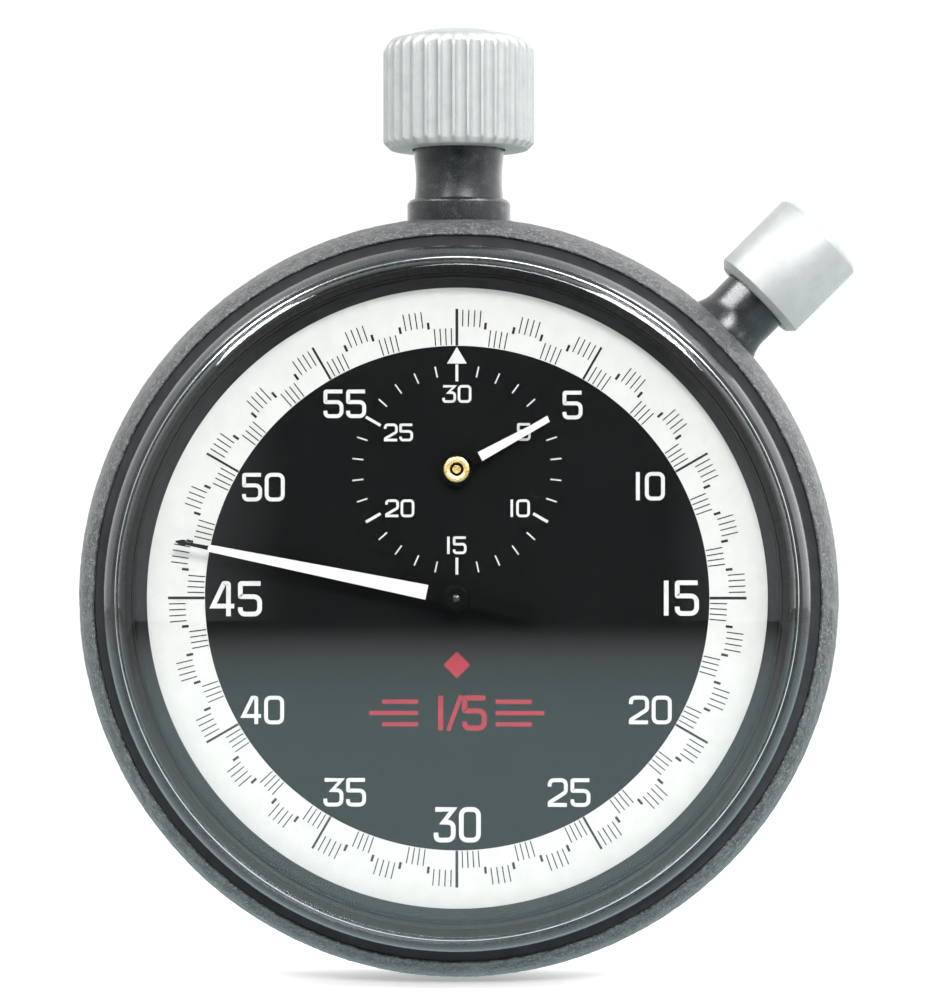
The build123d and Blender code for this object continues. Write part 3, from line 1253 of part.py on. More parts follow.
HUB_RADIUS = 0.93
with BuildPart() as minute_hand:
    outline = ((-0.9, 0.3), (0.0, 0.42), (1.9, 0.35), (7.4, 0.195))
    with BuildSketch(face_plane(MINUTE_HAND_HEIGHT, REGISTER)) as blade:
        Polygon(*hand_points(MINUTE_ANGLE, outline), align=None)
        Circle(HUB_RADIUS + 0.25)
        Circle(HUB_RADIUS - 0.15, mode=Mode.SUBTRACT)
    extrude(blade.sketch, amount=0.15)
write(minute_hand, "minute_hand")

with BuildPart() as minute_hand_hub:
    with BuildSketch(section_plane(REGISTER)) as hub_section:
        with BuildLine():
            Polyline(
                (ARBOR_RADIUS, 11.45),
                (HUB_RADIUS - 0.15, 11.45),
                (HUB_RADIUS - 0.15, 11.85),
                (HUB_RADIUS, 11.85),
            )
            ThreePointArc((HUB_RADIUS, 11.85), (0.86, 12.02), (0.7, 12.08))
            Polyline((0.7, 12.08), (0.5, 12.08), (0.46, 11.95), (ARBOR_RADIUS, 11.95), (ARBOR_RADIUS, 11.45))
        make_face()
    revolve(axis=arbor_axis(REGISTER))
write(minute_hand_hub, "minute_hand_hub")
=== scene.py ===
"""Looks of the mechanical stopwatch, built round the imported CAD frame.

Sizes below are in millimetres and become metres in point(). Heights are measured from
the back cover towards the dial, as in the CAD.
"""

import json
from math import acos, asin, atan2, cos, hypot, pi, radians, sin, sqrt

import bmesh
import bpy
from mathutils import Matrix, Vector, noise


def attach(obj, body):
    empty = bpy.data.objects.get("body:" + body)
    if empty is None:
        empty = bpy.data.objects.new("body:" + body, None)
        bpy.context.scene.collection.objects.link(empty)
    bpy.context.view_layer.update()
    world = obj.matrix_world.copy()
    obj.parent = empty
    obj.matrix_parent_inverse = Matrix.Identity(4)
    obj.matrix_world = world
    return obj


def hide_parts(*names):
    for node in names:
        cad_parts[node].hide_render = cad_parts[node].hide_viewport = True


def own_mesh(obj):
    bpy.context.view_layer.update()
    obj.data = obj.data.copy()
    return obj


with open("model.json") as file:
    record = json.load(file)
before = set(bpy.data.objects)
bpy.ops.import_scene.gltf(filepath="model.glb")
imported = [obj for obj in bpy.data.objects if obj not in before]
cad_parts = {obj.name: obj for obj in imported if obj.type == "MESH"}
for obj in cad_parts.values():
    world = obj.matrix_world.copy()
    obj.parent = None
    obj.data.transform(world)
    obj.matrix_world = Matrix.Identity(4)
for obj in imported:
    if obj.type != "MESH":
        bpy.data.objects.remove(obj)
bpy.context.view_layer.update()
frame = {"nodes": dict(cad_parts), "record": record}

MM = 0.001

# the case in millimetres and the hands in degrees, as in the CAD
STEM_HEIGHT = 5.0
DIAL_FACE = 11.2
REGISTER = (0.0, 9.11)
SECONDS_ANGLE = 90 - 281.45
MINUTE_ANGLE = 90 - 61.4

# segments round a turned piece, by its size
COARSE, MIDDLE, FINE = 48, 72, 480


# ---------------------------------------------------------------- frames and meshes
def point(x, y, height):
    """Place on the watch: x right, y up and a height above the back cover, as a vector in metres."""
    return Vector((x * MM, -height * MM, y * MM))


def dial_frame(radius, height, angle):
    """A turned piece's point about the seconds arbor."""
    return point(radius * cos(angle), radius * sin(angle), height)


def crown_frame(radius, along, angle):
    """A turned piece's point about the winding stem, its angle from +X towards the dial."""
    return point(radius * cos(angle), along, STEM_HEIGHT + radius * sin(angle))


def reset_frame(radius, along, angle):
    """A turned piece's point about the reset stem, which leaves the case at 45 degrees."""
    side = radius * cos(angle)
    diagonal = sqrt(0.5)
    return point((along + side) * diagonal, (along - side) * diagonal, STEM_HEIGHT + radius * sin(angle))


def made(name, vertices, faces, material, smooth_angle=32.0):
    """Mesh object with outward normals, smooth except at edges sharper than the given angle."""
    mesh = bpy.data.meshes.new(name)
    mesh.from_pydata([tuple(v) for v in vertices], [], faces)
    work = bmesh.new()
    work.from_mesh(mesh)
    bmesh.ops.recalc_face_normals(work, faces=work.faces)
    work.to_mesh(mesh)
    work.free()
    for polygon in mesh.polygons:
        polygon.use_smooth = True
    mesh.set_sharp_from_angle(angle=radians(smooth_angle))
    mesh.materials.append(material)
    piece = bpy.data.objects.new(name, mesh)
    bpy.context.scene.collection.objects.link(piece)
    return piece


def settle(piece, body, slot, *nodes):
    """Puts a piece on its body and hides the CAD nodes that it stands for. Its slot argument is not used."""
    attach(piece, body)
    if nodes:
        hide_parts(*nodes)
    return piece


def rounded(corners, closed=True):
    """Profile through corners (radius, height, fillet), each fillet an arc of the given radius."""
    line = []
    count = len(corners)
    for i, corner in enumerate(corners):
        here = Vector(corner[:2])
        fillet = corner[2] if len(corner) > 2 else 0.0
        if fillet <= 0 or (not closed and i in (0, count - 1)):
            line.append((here.x, here.y))
            continue
        before = (Vector(corners[i - 1][:2]) - here).normalized()
        after = (Vector(corners[(i + 1) % count][:2]) - here).normalized()
        half = acos(max(-1.0, min(1.0, before.dot(after)))) / 2
        reach = fillet / max(sin(half) / max(cos(half), 1e-6), 1e-6)
        start, end = here + before * reach, here + after * reach
        centre = here + (before + after).normalized() * (fillet / sin(half))
        a0 = atan2(start.y - centre.y, start.x - centre.x)
        a1 = atan2(end.y - centre.y, end.x - centre.x)
        turn = (a1 - a0 + pi) % (2 * pi) - pi
        steps = max(3, int(abs(turn) / radians(11)))
        for k in range(steps + 1):
            a = a0 + turn * k / steps
            line.append((centre.x + fillet * cos(a), centre.y + fillet * sin(a)))
    return line


def arc_through(start, middle, end, steps):
    """Points after start along the circle through three points, up to and with end."""
    (ax, ay), (bx, by), (cx, cy) = start, middle, end
    d = 2 * (ax * (by - cy) + bx * (cy - ay) + cx * (ay - by))
    ux = ((ax**2 + ay**2) * (by - cy) + (bx**2 + by**2) * (cy - ay) + (cx**2 + cy**2) * (ay - by)) / d
    uy = ((ax**2 + ay**2) * (cx - bx) + (bx**2 + by**2) * (ax - cx) + (cx**2 + cy**2) * (bx - ax)) / d
    radius = hypot(ax - ux, ay - uy)
    a0 = atan2(ay - uy, ax - ux)
    a1 = atan2(by - uy, bx - ux)
    a2 = atan2(cy - uy, cx - ux)
    first = (a1 - a0 + pi) % (2 * pi) - pi
    second = (a2 - a1 + pi) % (2 * pi) - pi
    total = first + second
    return [
        (ux + radius * cos(a0 + total * k / steps), uy + radius * sin(a0 + total * k / steps))
        for k in range(1, steps + 1)
    ]


def turned(name, profile, place, segments, material, closed=True, shape=None, smooth_angle=32.0):
    """Solid of revolution. Profile points of radius 0 become one pole vertex."""
    vertices, rings = [], []
    for radius, along in profile:
        if radius < 1e-6:
            rings.append([len(vertices)])
            vertices.append(place(0.0, along, 0.0))
            continue
        ring = []
        for k in range(segments):
            angle = 2 * pi * k / segments
            r, s = shape(radius, along, angle) if shape else (radius, along)
            ring.append(len(vertices))
            vertices.append(place(r, s, angle))
        rings.append(ring)
    faces = []
    pairs = list(zip(rings, rings[1:]))
    if closed:
        pairs.append((rings[-1], rings[0]))
    for low, high in pairs:
        if len(low) == 1 and len(high) == 1:
            continue
        for k in range(segments):
            n = (k + 1) % segments
            if len(low) == 1:
                faces.append((low[0], high[k], high[n]))
            elif len(high) == 1:
                faces.append((low[k], low[n], high[0]))
            else:
                faces.append((low[k], low[n], high[n], high[k]))
    return made(name, vertices, faces, material, smooth_angle)


def resample(line, step):
    """The same line with no gap longer than step."""
    fine = [line[0]]
    for a, b in zip(line, line[1:]):
        count = max(1, int(hypot(b[0] - a[0], b[1] - a[1]) / step))
        fine += [(a[0] + (b[0] - a[0]) * k / count, a[1] + (b[1] - a[1]) * k / count) for k in range(1, count + 1)]
    return fine


def smooth_curve(knots, steps):
    """Catmull-Rom line through the knots."""
    padded = [knots[0], *knots, knots[-1]]
    line = [knots[0]]
    for i in range(1, len(padded) - 2):
        p0, p1, p2, p3 = (Vector(padded[i + k]) for k in (-1, 0, 1, 2))
        for k in range(1, steps + 1):
            t = k / steps
            square = 2 * p0 - 5 * p1 + 4 * p2 - p3
            cube = 3 * p1 - p0 - 3 * p2 + p3
            p = 0.5 * (2 * p1 + (p2 - p0) * t + square * t**2 + cube * t**3)
            line.append((p.x, p.y))
    return line


class Print:
    """Collects thin printed or painted shapes that lie flat on the dial or on a hand."""

    def __init__(self, low, high):
        self.low, self.high = low, high
        self.vertices, self.faces = [], []

    def band(self, left, right, loop=False):
        """A strip between two lines of equal length, as a thin solid."""
        base, count = len(self.vertices), len(left)
        for a, b in zip(left, right):
            for x, y in (a, b):
                self.vertices.append(point(x, y, self.high))
            for x, y in (b, a):
                self.vertices.append(point(x, y, self.low))
        ends = range(count) if loop else range(count - 1)
        for i in ends:
            here, there = base + 4 * i, base + 4 * ((i + 1) % count)
            for k in range(4):
                self.faces.append((here + k, here + (k + 1) % 4, there + (k + 1) % 4, there + k))
        if not loop:
            self.faces.append(tuple(base + k for k in (0, 1, 2, 3)))
            last = base + 4 * (count - 1)
            self.faces.append(tuple(last + k for k in (3, 2, 1, 0)))

    def bar(self, start, end, width, end_width=None):
        """A straight bar from start to end."""
        along = (Vector(end) - Vector(start)).normalized()
        side = Vector((-along.y, along.x))
        half, far = width / 2, (end_width or width) / 2
        a, b = Vector(start), Vector(end)
        self.band([a + side * half, b + side * far], [a - side * half, b - side * far])

    def ray(self, centre, angle, inner, outer, width):
        """A tick that points away from a centre."""
        out = Vector((cos(radians(angle)), sin(radians(angle))))
        self.bar(Vector(centre) + out * inner, Vector(centre) + out * outer, width)

    def stroke(self, path, width, loop=False):
        """A pen stroke of even width along a path."""
        left, right = [], []
        count = len(path)
        for i, p in enumerate(path):
            here = Vector(p)
            before = here - Vector(path[i - 1]) if (loop or i > 0) else None
            after = Vector(path[(i + 1) % count]) - here if (loop or i < count - 1) else None
            a = (before or after).normalized()
            b = (after or before).normalized()
            across = Vector((-(a + b).y, (a + b).x)).normalized()
            reach = width / 2 / max(0.5, across.dot(Vector((-a.y, a.x))))
            left.append(here + across * reach)
            right.append(here - across * reach)
        self.band(left, right, loop)

    def ring(self, centre, inner, outer, segments):
        """A flat ring."""
        turns = [2 * pi * k / segments for k in range(segments)]
        self.band(
            [(centre[0] + outer * cos(a), centre[1] + outer * sin(a)) for a in turns],
            [(centre[0] + inner * cos(a), centre[1] + inner * sin(a)) for a in turns],
            loop=True,
        )

    def finish(self, name, material):
        return made(name, self.vertices, self.faces, material)


# Squared numerals: pen paths of (x, y, corner radius) in a box 1 wide and 1 high, and whether the path closes.
NUMERALS = {
    "0": ([(0, 0, 0.17), (0, 1, 0.17), (1, 1, 0.17), (1, 0, 0.17)], True),
    "1": ([(0.5, -0.07, 0), (0.5, 1.07, 0)], False),
    "2": (
        [(0, 0.74, 0), (0, 1, 0.15), (1, 1, 0.16), (1, 0.52, 0.13), (0, 0.1, 0.03), (0, 0, 0), (1.06, 0, 0)], False,
    ),
    "3": (
        [(-0.04, 1, 0), (1, 1, 0), (0.42, 0.58, 0), (1, 0.58, 0.15), (1, 0, 0.17), (0, 0, 0.12), (0, 0.24, 0)], False,
    ),
    "4": ([(0.8, 0.335, 0), (0.8, 1, 0.04), (0.56, 1, 0.02), (0, 0.26, 0), (1.1, 0.26, 0)], False),
    "5": (
        [(1.05, 1, 0), (0, 1, 0.04), (0, 0.57, 0.02), (1, 0.57, 0.17), (1, 0, 0.17), (0, 0, 0.13), (0, 0.22, 0)],
        False,
    ),
}


def write_number(sheet, text, centre, height, pen, width_share):
    """Draws a number in squared numerals, centred on a point."""
    tall, wide = height - pen, height * width_share - pen
    gap = height * 0.12
    widths = [pen if c == "1" else wide + pen for c in text]
    gaps = [gap * (1.5 if text[i] == "1" else 0.8) for i in range(len(text) - 1)]
    x = centre[0] - (sum(widths) + sum(gaps)) / 2
    for i, c in enumerate(text):
        path, loop = NUMERALS[c]
        across = 0.0 if c == "1" else wide
        corners = [
            (x + pen / 2 + (0 if c == "1" else px) * across, centre[1] + (py - 0.5) * tall, r * height)
            for px, py, r in path
        ]
        sheet.stroke(rounded(corners, closed=loop), pen, loop)
        if c == "4":
            # its stem stops at the crossbar and starts again below, so that no two faces share a place
            stem = x + pen / 2 + 0.8 * across
            sheet.bar((stem, centre[1] - 0.57 * tall), (stem, centre[1] - 0.24 * tall - pen / 2), pen)
        x += widths[i] + (gaps[i] if i < len(gaps) else 0)


# ---------------------------------------------------------------- materials
def set_range(mapped, low, high, to_low, to_high):
    """Sets what a MapRange node reads and gives."""
    for socket, value in (("From Min", low), ("From Max", high), ("To Min", to_low), ("To Max", to_high)):
        mapped.inputs[socket].default_value = value
    return mapped.outputs["Result"]


class Finish:
    """Builds a procedural material node by node, all textures in object space and millimetres."""

    def __init__(self, name, **sockets):
        self.material = bpy.data.materials.new(name)
        self.material.use_nodes = True
        self.tree = self.material.node_tree
        self.shader = self.tree.nodes["Principled BSDF"]
        self.output = self.tree.nodes["Material Output"]
        for socket, value in sockets.items():
            self.shader.inputs[socket.replace("_", " ")].default_value = value
        self.place = self.tree.nodes.new("ShaderNodeTexCoord").outputs["Object"]

    def node(self, kind, **settings):
        made_node = self.tree.nodes.new("ShaderNode" + kind)
        for key, value in settings.items():
            setattr(made_node, key, value)
        return made_node

    def link(self, source, target):
        self.tree.links.new(source, target)

    def scaled(self, stretch):
        """Object coordinates multiplied per axis, in turns per millimetre."""
        mapping = self.node("Mapping")
        mapping.inputs["Scale"].default_value = [s / MM for s in stretch]
        self.link(self.place, mapping.inputs["Vector"])
        return mapping.outputs["Vector"]

    def grain(self, per_mm, detail=4.0, rough=0.55, stretch=(1, 1, 1), distort=0.0):
        """Noise of a given fineness."""
        texture = self.node("TexNoise")
        texture.inputs["Scale"].default_value = 1.0
        texture.inputs["Detail"].default_value = detail
        texture.inputs["Roughness"].default_value = rough
        texture.inputs["Distortion"].default_value = distort
        self.link(self.scaled([per_mm * s for s in stretch]), texture.inputs["Vector"])
        return texture.outputs["Fac"]

    def cells(self, per_mm):
        """Distance to scattered points of a given fineness."""
        texture = self.node("TexVoronoi", feature="F1")
        texture.inputs["Scale"].default_value = 1.0
        self.link(self.scaled([per_mm] * 3), texture.inputs["Vector"])
        return texture.outputs["Distance"]

    def maths(self, operation, source, *values):
        """A Math node on one source, with fixed values for its other inputs."""
        reckoned = self.node("Math", operation=operation)
        self.link(source, reckoned.inputs[0])
        for socket, value in zip(reckoned.inputs[1:], values):
            socket.default_value = value
        return reckoned.outputs[0]

    def ramp(self, source, *stops):
        """Maps a value to colours or greys at stops."""
        ramp = self.node("ValToRGB")
        elements = ramp.color_ramp.elements
        while len(elements) < len(stops):
            elements.new(0.5)
        for element, (position, colour) in zip(elements, stops):
            element.position = position
            element.color = (*colour, 1) if isinstance(colour, tuple) else (colour, colour, colour, 1)
        self.link(source, ramp.inputs["Fac"])
        return ramp.outputs["Color"]

    def spread(self, source, low, high):
        """Maps the middle of 0..1, where noise mostly lies, to low..high."""
        mapped = self.node("MapRange")
        self.link(source, mapped.inputs["Value"])
        return set_range(mapped, 0.3, 0.7, low, high)

    def blend(self, share, first, second):
        """Mixes two colours, each a socket or a tuple, by a share socket."""
        mix = self.node("Mix", data_type="RGBA")
        self.link(share, mix.inputs["Factor"])
        for socket, value in ((6, first), (7, second)):
            if isinstance(value, tuple):
                mix.inputs[socket].default_value = (*value, 1)
            else:
                self.link(value, mix.inputs[socket])
        return mix.outputs[2]

    def mixed(self, share, first, second):
        """Mixes two shaders."""
        mix = self.node("MixShader")
        for source, socket in zip((share, first, second), mix.inputs):
            self.link(source, socket)
        return mix.outputs[0]

    def colour(self, socket):
        self.link(socket, self.shader.inputs["Base Color"])
        return self

    def rough(self, source, low, high):
        self.link(self.spread(source, low, high), self.shader.inputs["Roughness"])
        return self

    def bump(self, source, height_mm, strength=1.0, under=None):
        """Bump of a real height; under is a bump that this one lies on."""
        bump = self.node("Bump")
        bump.inputs["Strength"].default_value = strength
        bump.inputs["Distance"].default_value = height_mm * MM
        self.link(source, bump.inputs["Height"])
        if under:
            self.link(under, bump.inputs["Normal"])
        self.link(bump.outputs["Normal"], self.shader.inputs["Normal"])
        return bump.outputs["Normal"]


def textured_case_finish():
    """Dark grey crackle coat, with light grey spots that are partly rubbed high spots and partly painted glints."""
    f = Finish("textured_case", Metallic=0.0, Roughness=0.5, Specular_IOR_Level=0.55)
    blots = f.grain(1.1, 6, 0.70)
    fine = f.grain(5.0, 5, 0.72)
    tone = f.ramp(blots, (0.40, (0.004, 0.005, 0.006)), (0.50, (0.018, 0.0215, 0.023)), (0.60, (0.060, 0.070, 0.072)))
    # light grey spots from fine noise: rubbed high spots of the coat, and painted glints of light
    worn_and_glints = f.ramp(fine, (0.53, 0.0), (0.62, 1.0))
    f.colour(f.blend(worn_and_glints, tone, (0.215, 0.245, 0.25)))
    f.rough(fine, 0.24, 0.60)
    under = f.bump(blots, 0.22, 1.0)
    f.bump(fine, 0.14, 1.0, under)
    return f.material


def gloss_bezel_finish():
    """Glossy charcoal enamel with fine wipe marks."""
    f = Finish("gloss_bezel", Metallic=0.0, Roughness=0.3, Coat_Weight=0.35, Coat_Roughness=0.06)
    haze = f.grain(1.4, 5, 0.6)
    specks = f.grain(14.0, 2, 0.5)
    f.colour(f.ramp(haze, (0.3, (0.006, 0.007, 0.0085)), (0.7, (0.020, 0.0225, 0.025))))
    f.rough(specks, 0.16, 0.34)
    f.bump(specks, 0.004, 0.5)
    return f.material


def crystal_finish():
    """Clear acrylic. Lighting rays pass straight through it, so the dial is lit."""
    f = Finish("clear_crystal", Transmission_Weight=1.0, Roughness=0.0, IOR=1.49)
    f.shader.inputs["Base Color"].default_value = (0.98, 0.99, 1.0, 1)
    # the cyan specular tint is a painted tint of the reflected light
    f.shader.inputs["Specular Tint"].default_value = (0.93, 1.0, 1.0, 1)
    path = f.node("LightPath")
    lighting = f.node("Math", operation="MAXIMUM")
    f.link(path.outputs["Is Shadow Ray"], lighting.inputs[0])
    f.link(path.outputs["Is Diffuse Ray"], lighting.inputs[1])
    clear = f.node("BsdfTransparent").outputs[0]
    f.link(f.mixed(lighting.outputs[0], f.shader.outputs[0], clear), f.output.inputs["Surface"])
    return f.material


def satin_aluminium_finish():
    """Fine-blasted light metal, greyed by handling."""
    f = Finish("satin_aluminium", Metallic=0.2, Roughness=0.5)
    broad = f.grain(0.8, 4, 0.6)
    fine = f.grain(16.0, 4, 0.6)
    f.colour(f.ramp(broad, (0.3, (0.31, 0.328, 0.328)), (0.7, (0.365, 0.382, 0.38))))
    f.rough(fine, 0.44, 0.60)
    f.bump(fine, 0.010, 0.6)
    return f.material


def dark_steel_finish():
    """Blackened steel with rubbed patches."""
    f = Finish("dark_steel", Metallic=0.15, Roughness=0.3, Specular_IOR_Level=0.42)
    broad = f.grain(1.1, 5, 0.65)
    fine = f.grain(9.0, 4, 0.6)
    f.colour(f.ramp(broad, (0.35, (0.008, 0.010, 0.011)), (0.58, (0.020, 0.024, 0.026)), (0.8, (0.10, 0.112, 0.114))))
    f.rough(fine, 0.20, 0.36)
    f.bump(fine, 0.012, 0.6)
    return f.material


def turned_metal(name, dark, light, roughness, per_mm=9.0, metallic=1.0, stretch=(1, 1, 1)):
    """Machined movement metal with tool marks and a little tarnish."""
    f = Finish(name, Metallic=metallic, Roughness=roughness)
    tarnish = f.grain(0.6, 4, 0.6)
    marks = f.grain(per_mm, 3, 0.6, stretch)
    f.colour(f.ramp(tarnish, (0.3, dark), (0.7, light)))
    f.rough(marks, roughness * 0.75, roughness * 1.35)
    f.bump(marks, 0.004, 0.5)
    return f.material


def striped_plate_finish():
    """Gilt movement plate with broad ground stripes."""
    f = Finish("plate_brass", Metallic=1.0, Roughness=0.3)
    wave = f.node("TexWave", wave_type="BANDS", bands_direction="DIAGONAL")
    wave.inputs["Scale"].default_value = 0.22
    wave.inputs["Distortion"].default_value = 0.15
    f.link(f.scaled((1, 1, 1)), wave.inputs["Vector"])
    marks = f.grain(7.0, 3, 0.6, (1, 1, 0.2))
    f.colour(f.ramp(wave.outputs["Fac"], (0.2, (0.62, 0.47, 0.22)), (0.8, (0.78, 0.62, 0.33))))
    f.rough(marks, 0.2, 0.42)
    f.bump(wave.outputs["Fac"], 0.01, 0.4)
    return f.material


def jewel_finish():
    """Ruby bearing."""
    f = Finish("jewel", Roughness=0.08, Transmission_Weight=0.35, IOR=1.76)
    cloud = f.grain(2.5, 3, 0.5)
    f.colour(f.ramp(cloud, (0.3, (0.42, 0.008, 0.03)), (0.7, (0.66, 0.02, 0.07))))
    return f.material


def black_dial_finish():
    """Satin black lacquer with faint dust and age specks."""
    f = Finish("black_dial", Roughness=0.5, Specular_IOR_Level=0.03)
    cloud = f.grain(0.22, 5, 0.62)
    specks = f.cells(2.2)
    dust = f.ramp(specks, (0.0, 0.5), (0.055, 0.0))
    base = f.ramp(cloud, (0.3, (0.0020, 0.0026, 0.0028)), (0.75, (0.0036, 0.0046, 0.0044)))
    f.colour(f.blend(dust, base, (0.05, 0.05, 0.045)))
    f.rough(f.grain(1.2, 3, 0.5), 0.46, 0.56)
    return f.material


def black_flange_finish():
    """Satin black ring under the crystal."""
    f = Finish("black_flange", Roughness=0.5, Specular_IOR_Level=0.05)
    cloud = f.grain(0.5, 4, 0.6)
    f.colour(f.ramp(cloud, (0.3, (0.006, 0.007, 0.008)), (0.7, (0.012, 0.0135, 0.0145))))
    f.rough(f.grain(0.9, 3, 0.5), 0.44, 0.56)
    return f.material


def ink_finish(name, light, shade, roughness=0.5, stain=None, shine=0.1):
    """Printing ink or paint with slight unevenness, and stains where they are given."""
    f = Finish(name, Roughness=roughness, Specular_IOR_Level=shine)
    cloud = f.grain(0.9, 5, 0.6)
    colour = f.ramp(cloud, (0.3, shade), (0.7, light))
    if stain:
        spots = f.ramp(f.grain(0.42, 6, 0.7, distort=0.6), (0.66, 0.0), (0.82, 0.75))
        colour = f.blend(spots, colour, stain)
    f.colour(colour)
    f.rough(f.grain(8.0, 3, 0.5), roughness * 0.85, roughness * 1.2)
    f.bump(f.grain(10.0, 2, 0.5), 0.004, 0.5)
    return f.material


def rubber_finish():
    """Black rubber gasket."""
    f = Finish("gasket_rubber", Roughness=0.8, Specular_IOR_Level=0.3)
    f.colour(f.ramp(f.grain(3.0), (0.3, (0.012, 0.012, 0.012)), (0.7, (0.03, 0.03, 0.03))))
    f.bump(f.grain(9.0), 0.01, 0.6)
    return f.material


def plastic_finish():
    """Moulded movement ring in off-white plastic."""
    f = Finish("ring_plastic", Roughness=0.45, Subsurface_Weight=0.1)
    f.shader.inputs["Subsurface Scale"].default_value = 0.001
    f.colour(f.ramp(f.grain(0.5), (0.3, (0.48, 0.46, 0.40)), (0.7, (0.60, 0.58, 0.51))))
    f.rough(f.grain(6.0), 0.38, 0.55)
    f.bump(f.grain(8.0), 0.006, 0.5)
    return f.material


FINISHES = {
    "textured_case": textured_case_finish(),
    "gloss_bezel": gloss_bezel_finish(),
    "clear_crystal": crystal_finish(),
    "satin_aluminium": satin_aluminium_finish(),
    "dark_steel": dark_steel_finish(),
    "steel": turned_metal("steel", (0.50, 0.51, 0.53), (0.66, 0.67, 0.69), 0.26),
    "spring_steel": turned_metal("spring_steel", (0.05, 0.09, 0.26), (0.10, 0.17, 0.42), 0.24),
    "brass": turned_metal("brass", (0.66, 0.47, 0.17), (0.83, 0.64, 0.29), 0.28),
    "plate_brass": striped_plate_finish(),
    "jewel": jewel_finish(),
    "black_dial": black_dial_finish(),
    "black_flange": black_flange_finish(),
    "hand_paint": ink_finish("hand_paint", (0.76, 0.77, 0.75), (0.70, 0.71, 0.69), 0.45),
    "gasket_rubber": rubber_finish(),
    "ring_plastic": plastic_finish(),
}
RING_INK = ink_finish("ring_ink", (0.70, 0.71, 0.685), (0.645, 0.655, 0.625), 0.45, stain=(0.60, 0.52, 0.40))
SCALE_INK = ink_finish("scale_ink", (0.014, 0.014, 0.013), (0.006, 0.006, 0.006), 0.5)
NUMERAL_INK = ink_finish("numeral_ink", (0.76, 0.77, 0.76), (0.62, 0.63, 0.62), 0.5)
RED_INK = ink_finish("red_ink", (0.36, 0.012, 0.030), (0.29, 0.009, 0.024), 0.45)
# bright metal for the lip, a painted reflection line at the crystal's edge
LIP_REFLECTION_METAL = turned_metal("lip_reflection_metal", (0.66, 0.69, 0.71), (0.80, 0.83, 0.85), 0.1)
# smooth dark paint for the rim channel, partly painted shade of the groove
CHANNEL_PAINT_AND_SHADE = ink_finish("channel_paint_and_shade", (0.020, 0.022, 0.025), (0.036, 0.039, 0.044), 0.5, shine=0.2)
HAND_BLACK = ink_finish("hand_black", (0.0028, 0.0034, 0.0034), (0.0016, 0.0020, 0.0020), 0.6, shine=0.02)

for part in frame["record"]["subparts"]:
    node = frame["nodes"][part["node"]]
    node.data.materials.clear()
    node.data.materials.append(FINISHES[part["material_slot"]])


# ---------------------------------------------------------------- case
def hammered(radius, along, angle):
    """Uneven cast surface of the coat: slow swells and close pits, a few hundredths deep."""
    spot = Vector((radius * cos(angle), radius * sin(angle), along))
    swell = noise.noise(spot * 0.45)
    pits = noise.fractal(spot * 2.1, 1.0, 2.0, 3)
    outside = max(0.0, min(1.0, (radius - 25.2) / 0.4))
    return radius + outside * (0.022 * swell + 0.030 * pits - 0.02), along


rim = smooth_curve([(25.7, 0.9), (26.9, 3.6), (27.47, 6.5), (26.95, 9.4), (26.15, 10.9)], 18)
case_profile = resample(rim, 0.2) + rounded(
    [(26.05, 11.1), (25.98, 11.16, 0.04), (25.88, 11.1, 0.05), (25.84, 10.8, 0.05), (23.4, 10.8), (23.4, 1.75),
     (24.5, 1.75), (24.5, 0.9)],
    closed=False,
)
settle(
    turned("case_shell", case_profile, dial_frame, 1080, FINISHES["textured_case"], shape=hammered, smooth_angle=50),
    "case", "textured_case", "case_body",
)

back_profile = rounded(
    [(0.0, 0.0), (21.6, 0.0, 0.1), (21.75, 0.1, 0.06), (22.0, 0.1, 0.06), (22.15, 0.0, 0.1), (24.6, 0.0)],
    closed=False,
)
back_profile += arc_through((24.6, 0.0), (25.35, 0.28), (25.65, 0.9), 8)
back_profile += [(24.45, 0.9), (24.45, 1.35), (23.85, 1.35), (23.85, 0.9), (0.0, 0.9)]


def pry_notch(radius, along, angle):
    """Small hollow in the back cover's edge for a case knife, at five o'clock."""
    away = abs((angle - radians(-62) + pi) % (2 * pi) - pi)
    depth = max(0.0, 1 - away / radians(4.5)) ** 0.7
    edge = max(0.0, min(1.0, (radius - 24.5) / 0.6)) if along < 0.85 else 0.0
    return radius - 0.45 * depth * edge, along


settle(
    turned("back_cover_shell", resample(back_profile, 0.8), dial_frame, 540, FINISHES["textured_case"],
           closed=False, shape=pry_notch),
    "case", "textured_case", "back_cover",
)

# dark channel between case rim and bezel: smooth dark paint that also stands in for the shade in the groove, a
# painted shade
channel_profile = [(25.14, 10.81), (25.82, 10.81), (25.82, 10.93, 0.03), (25.5, 10.87), (25.14, 10.87)]
settle(
    turned("case_rim_channel", rounded(channel_profile), dial_frame, 360, CHANNEL_PAINT_AND_SHADE),
    "case", "gloss_bezel",
)

bezel_profile = rounded([(23.35, 11.3, 0.04), (23.35, 10.85), (25.1, 10.85, 0.05)], closed=False)
bezel_profile += [(25.1, 11.7)] + arc_through((25.1, 11.7), (24.84, 12.85), (24.38, 13.4), 16)
bezel_profile += rounded([(24.38, 13.4), (24.0, 13.3, 0.06), (24.0, 11.3)], closed=False)[1:]
settle(
    turned("bezel_ring", bezel_profile, dial_frame, FINE, FINISHES["gloss_bezel"]),
    "case", "gloss_bezel", "bezel",
)

# thin polished lip between bezel and crystal; its bright metal stands in for the line of reflected light on the
# crystal's edge, a painted reflection
LIP_CENTRE, LIP_RADIUS = (24.08, 13.38), 0.07
lip_profile = [
    (LIP_CENTRE[0] + LIP_RADIUS * cos(radians(k)), LIP_CENTRE[1] + LIP_RADIUS * sin(radians(k)))
    for k in range(0, 360, 20)
]
settle(
    turned("bezel_bright_lip", lip_profile, dial_frame, FINE, LIP_REFLECTION_METAL, smooth_angle=60),
    "case", "steel",
)


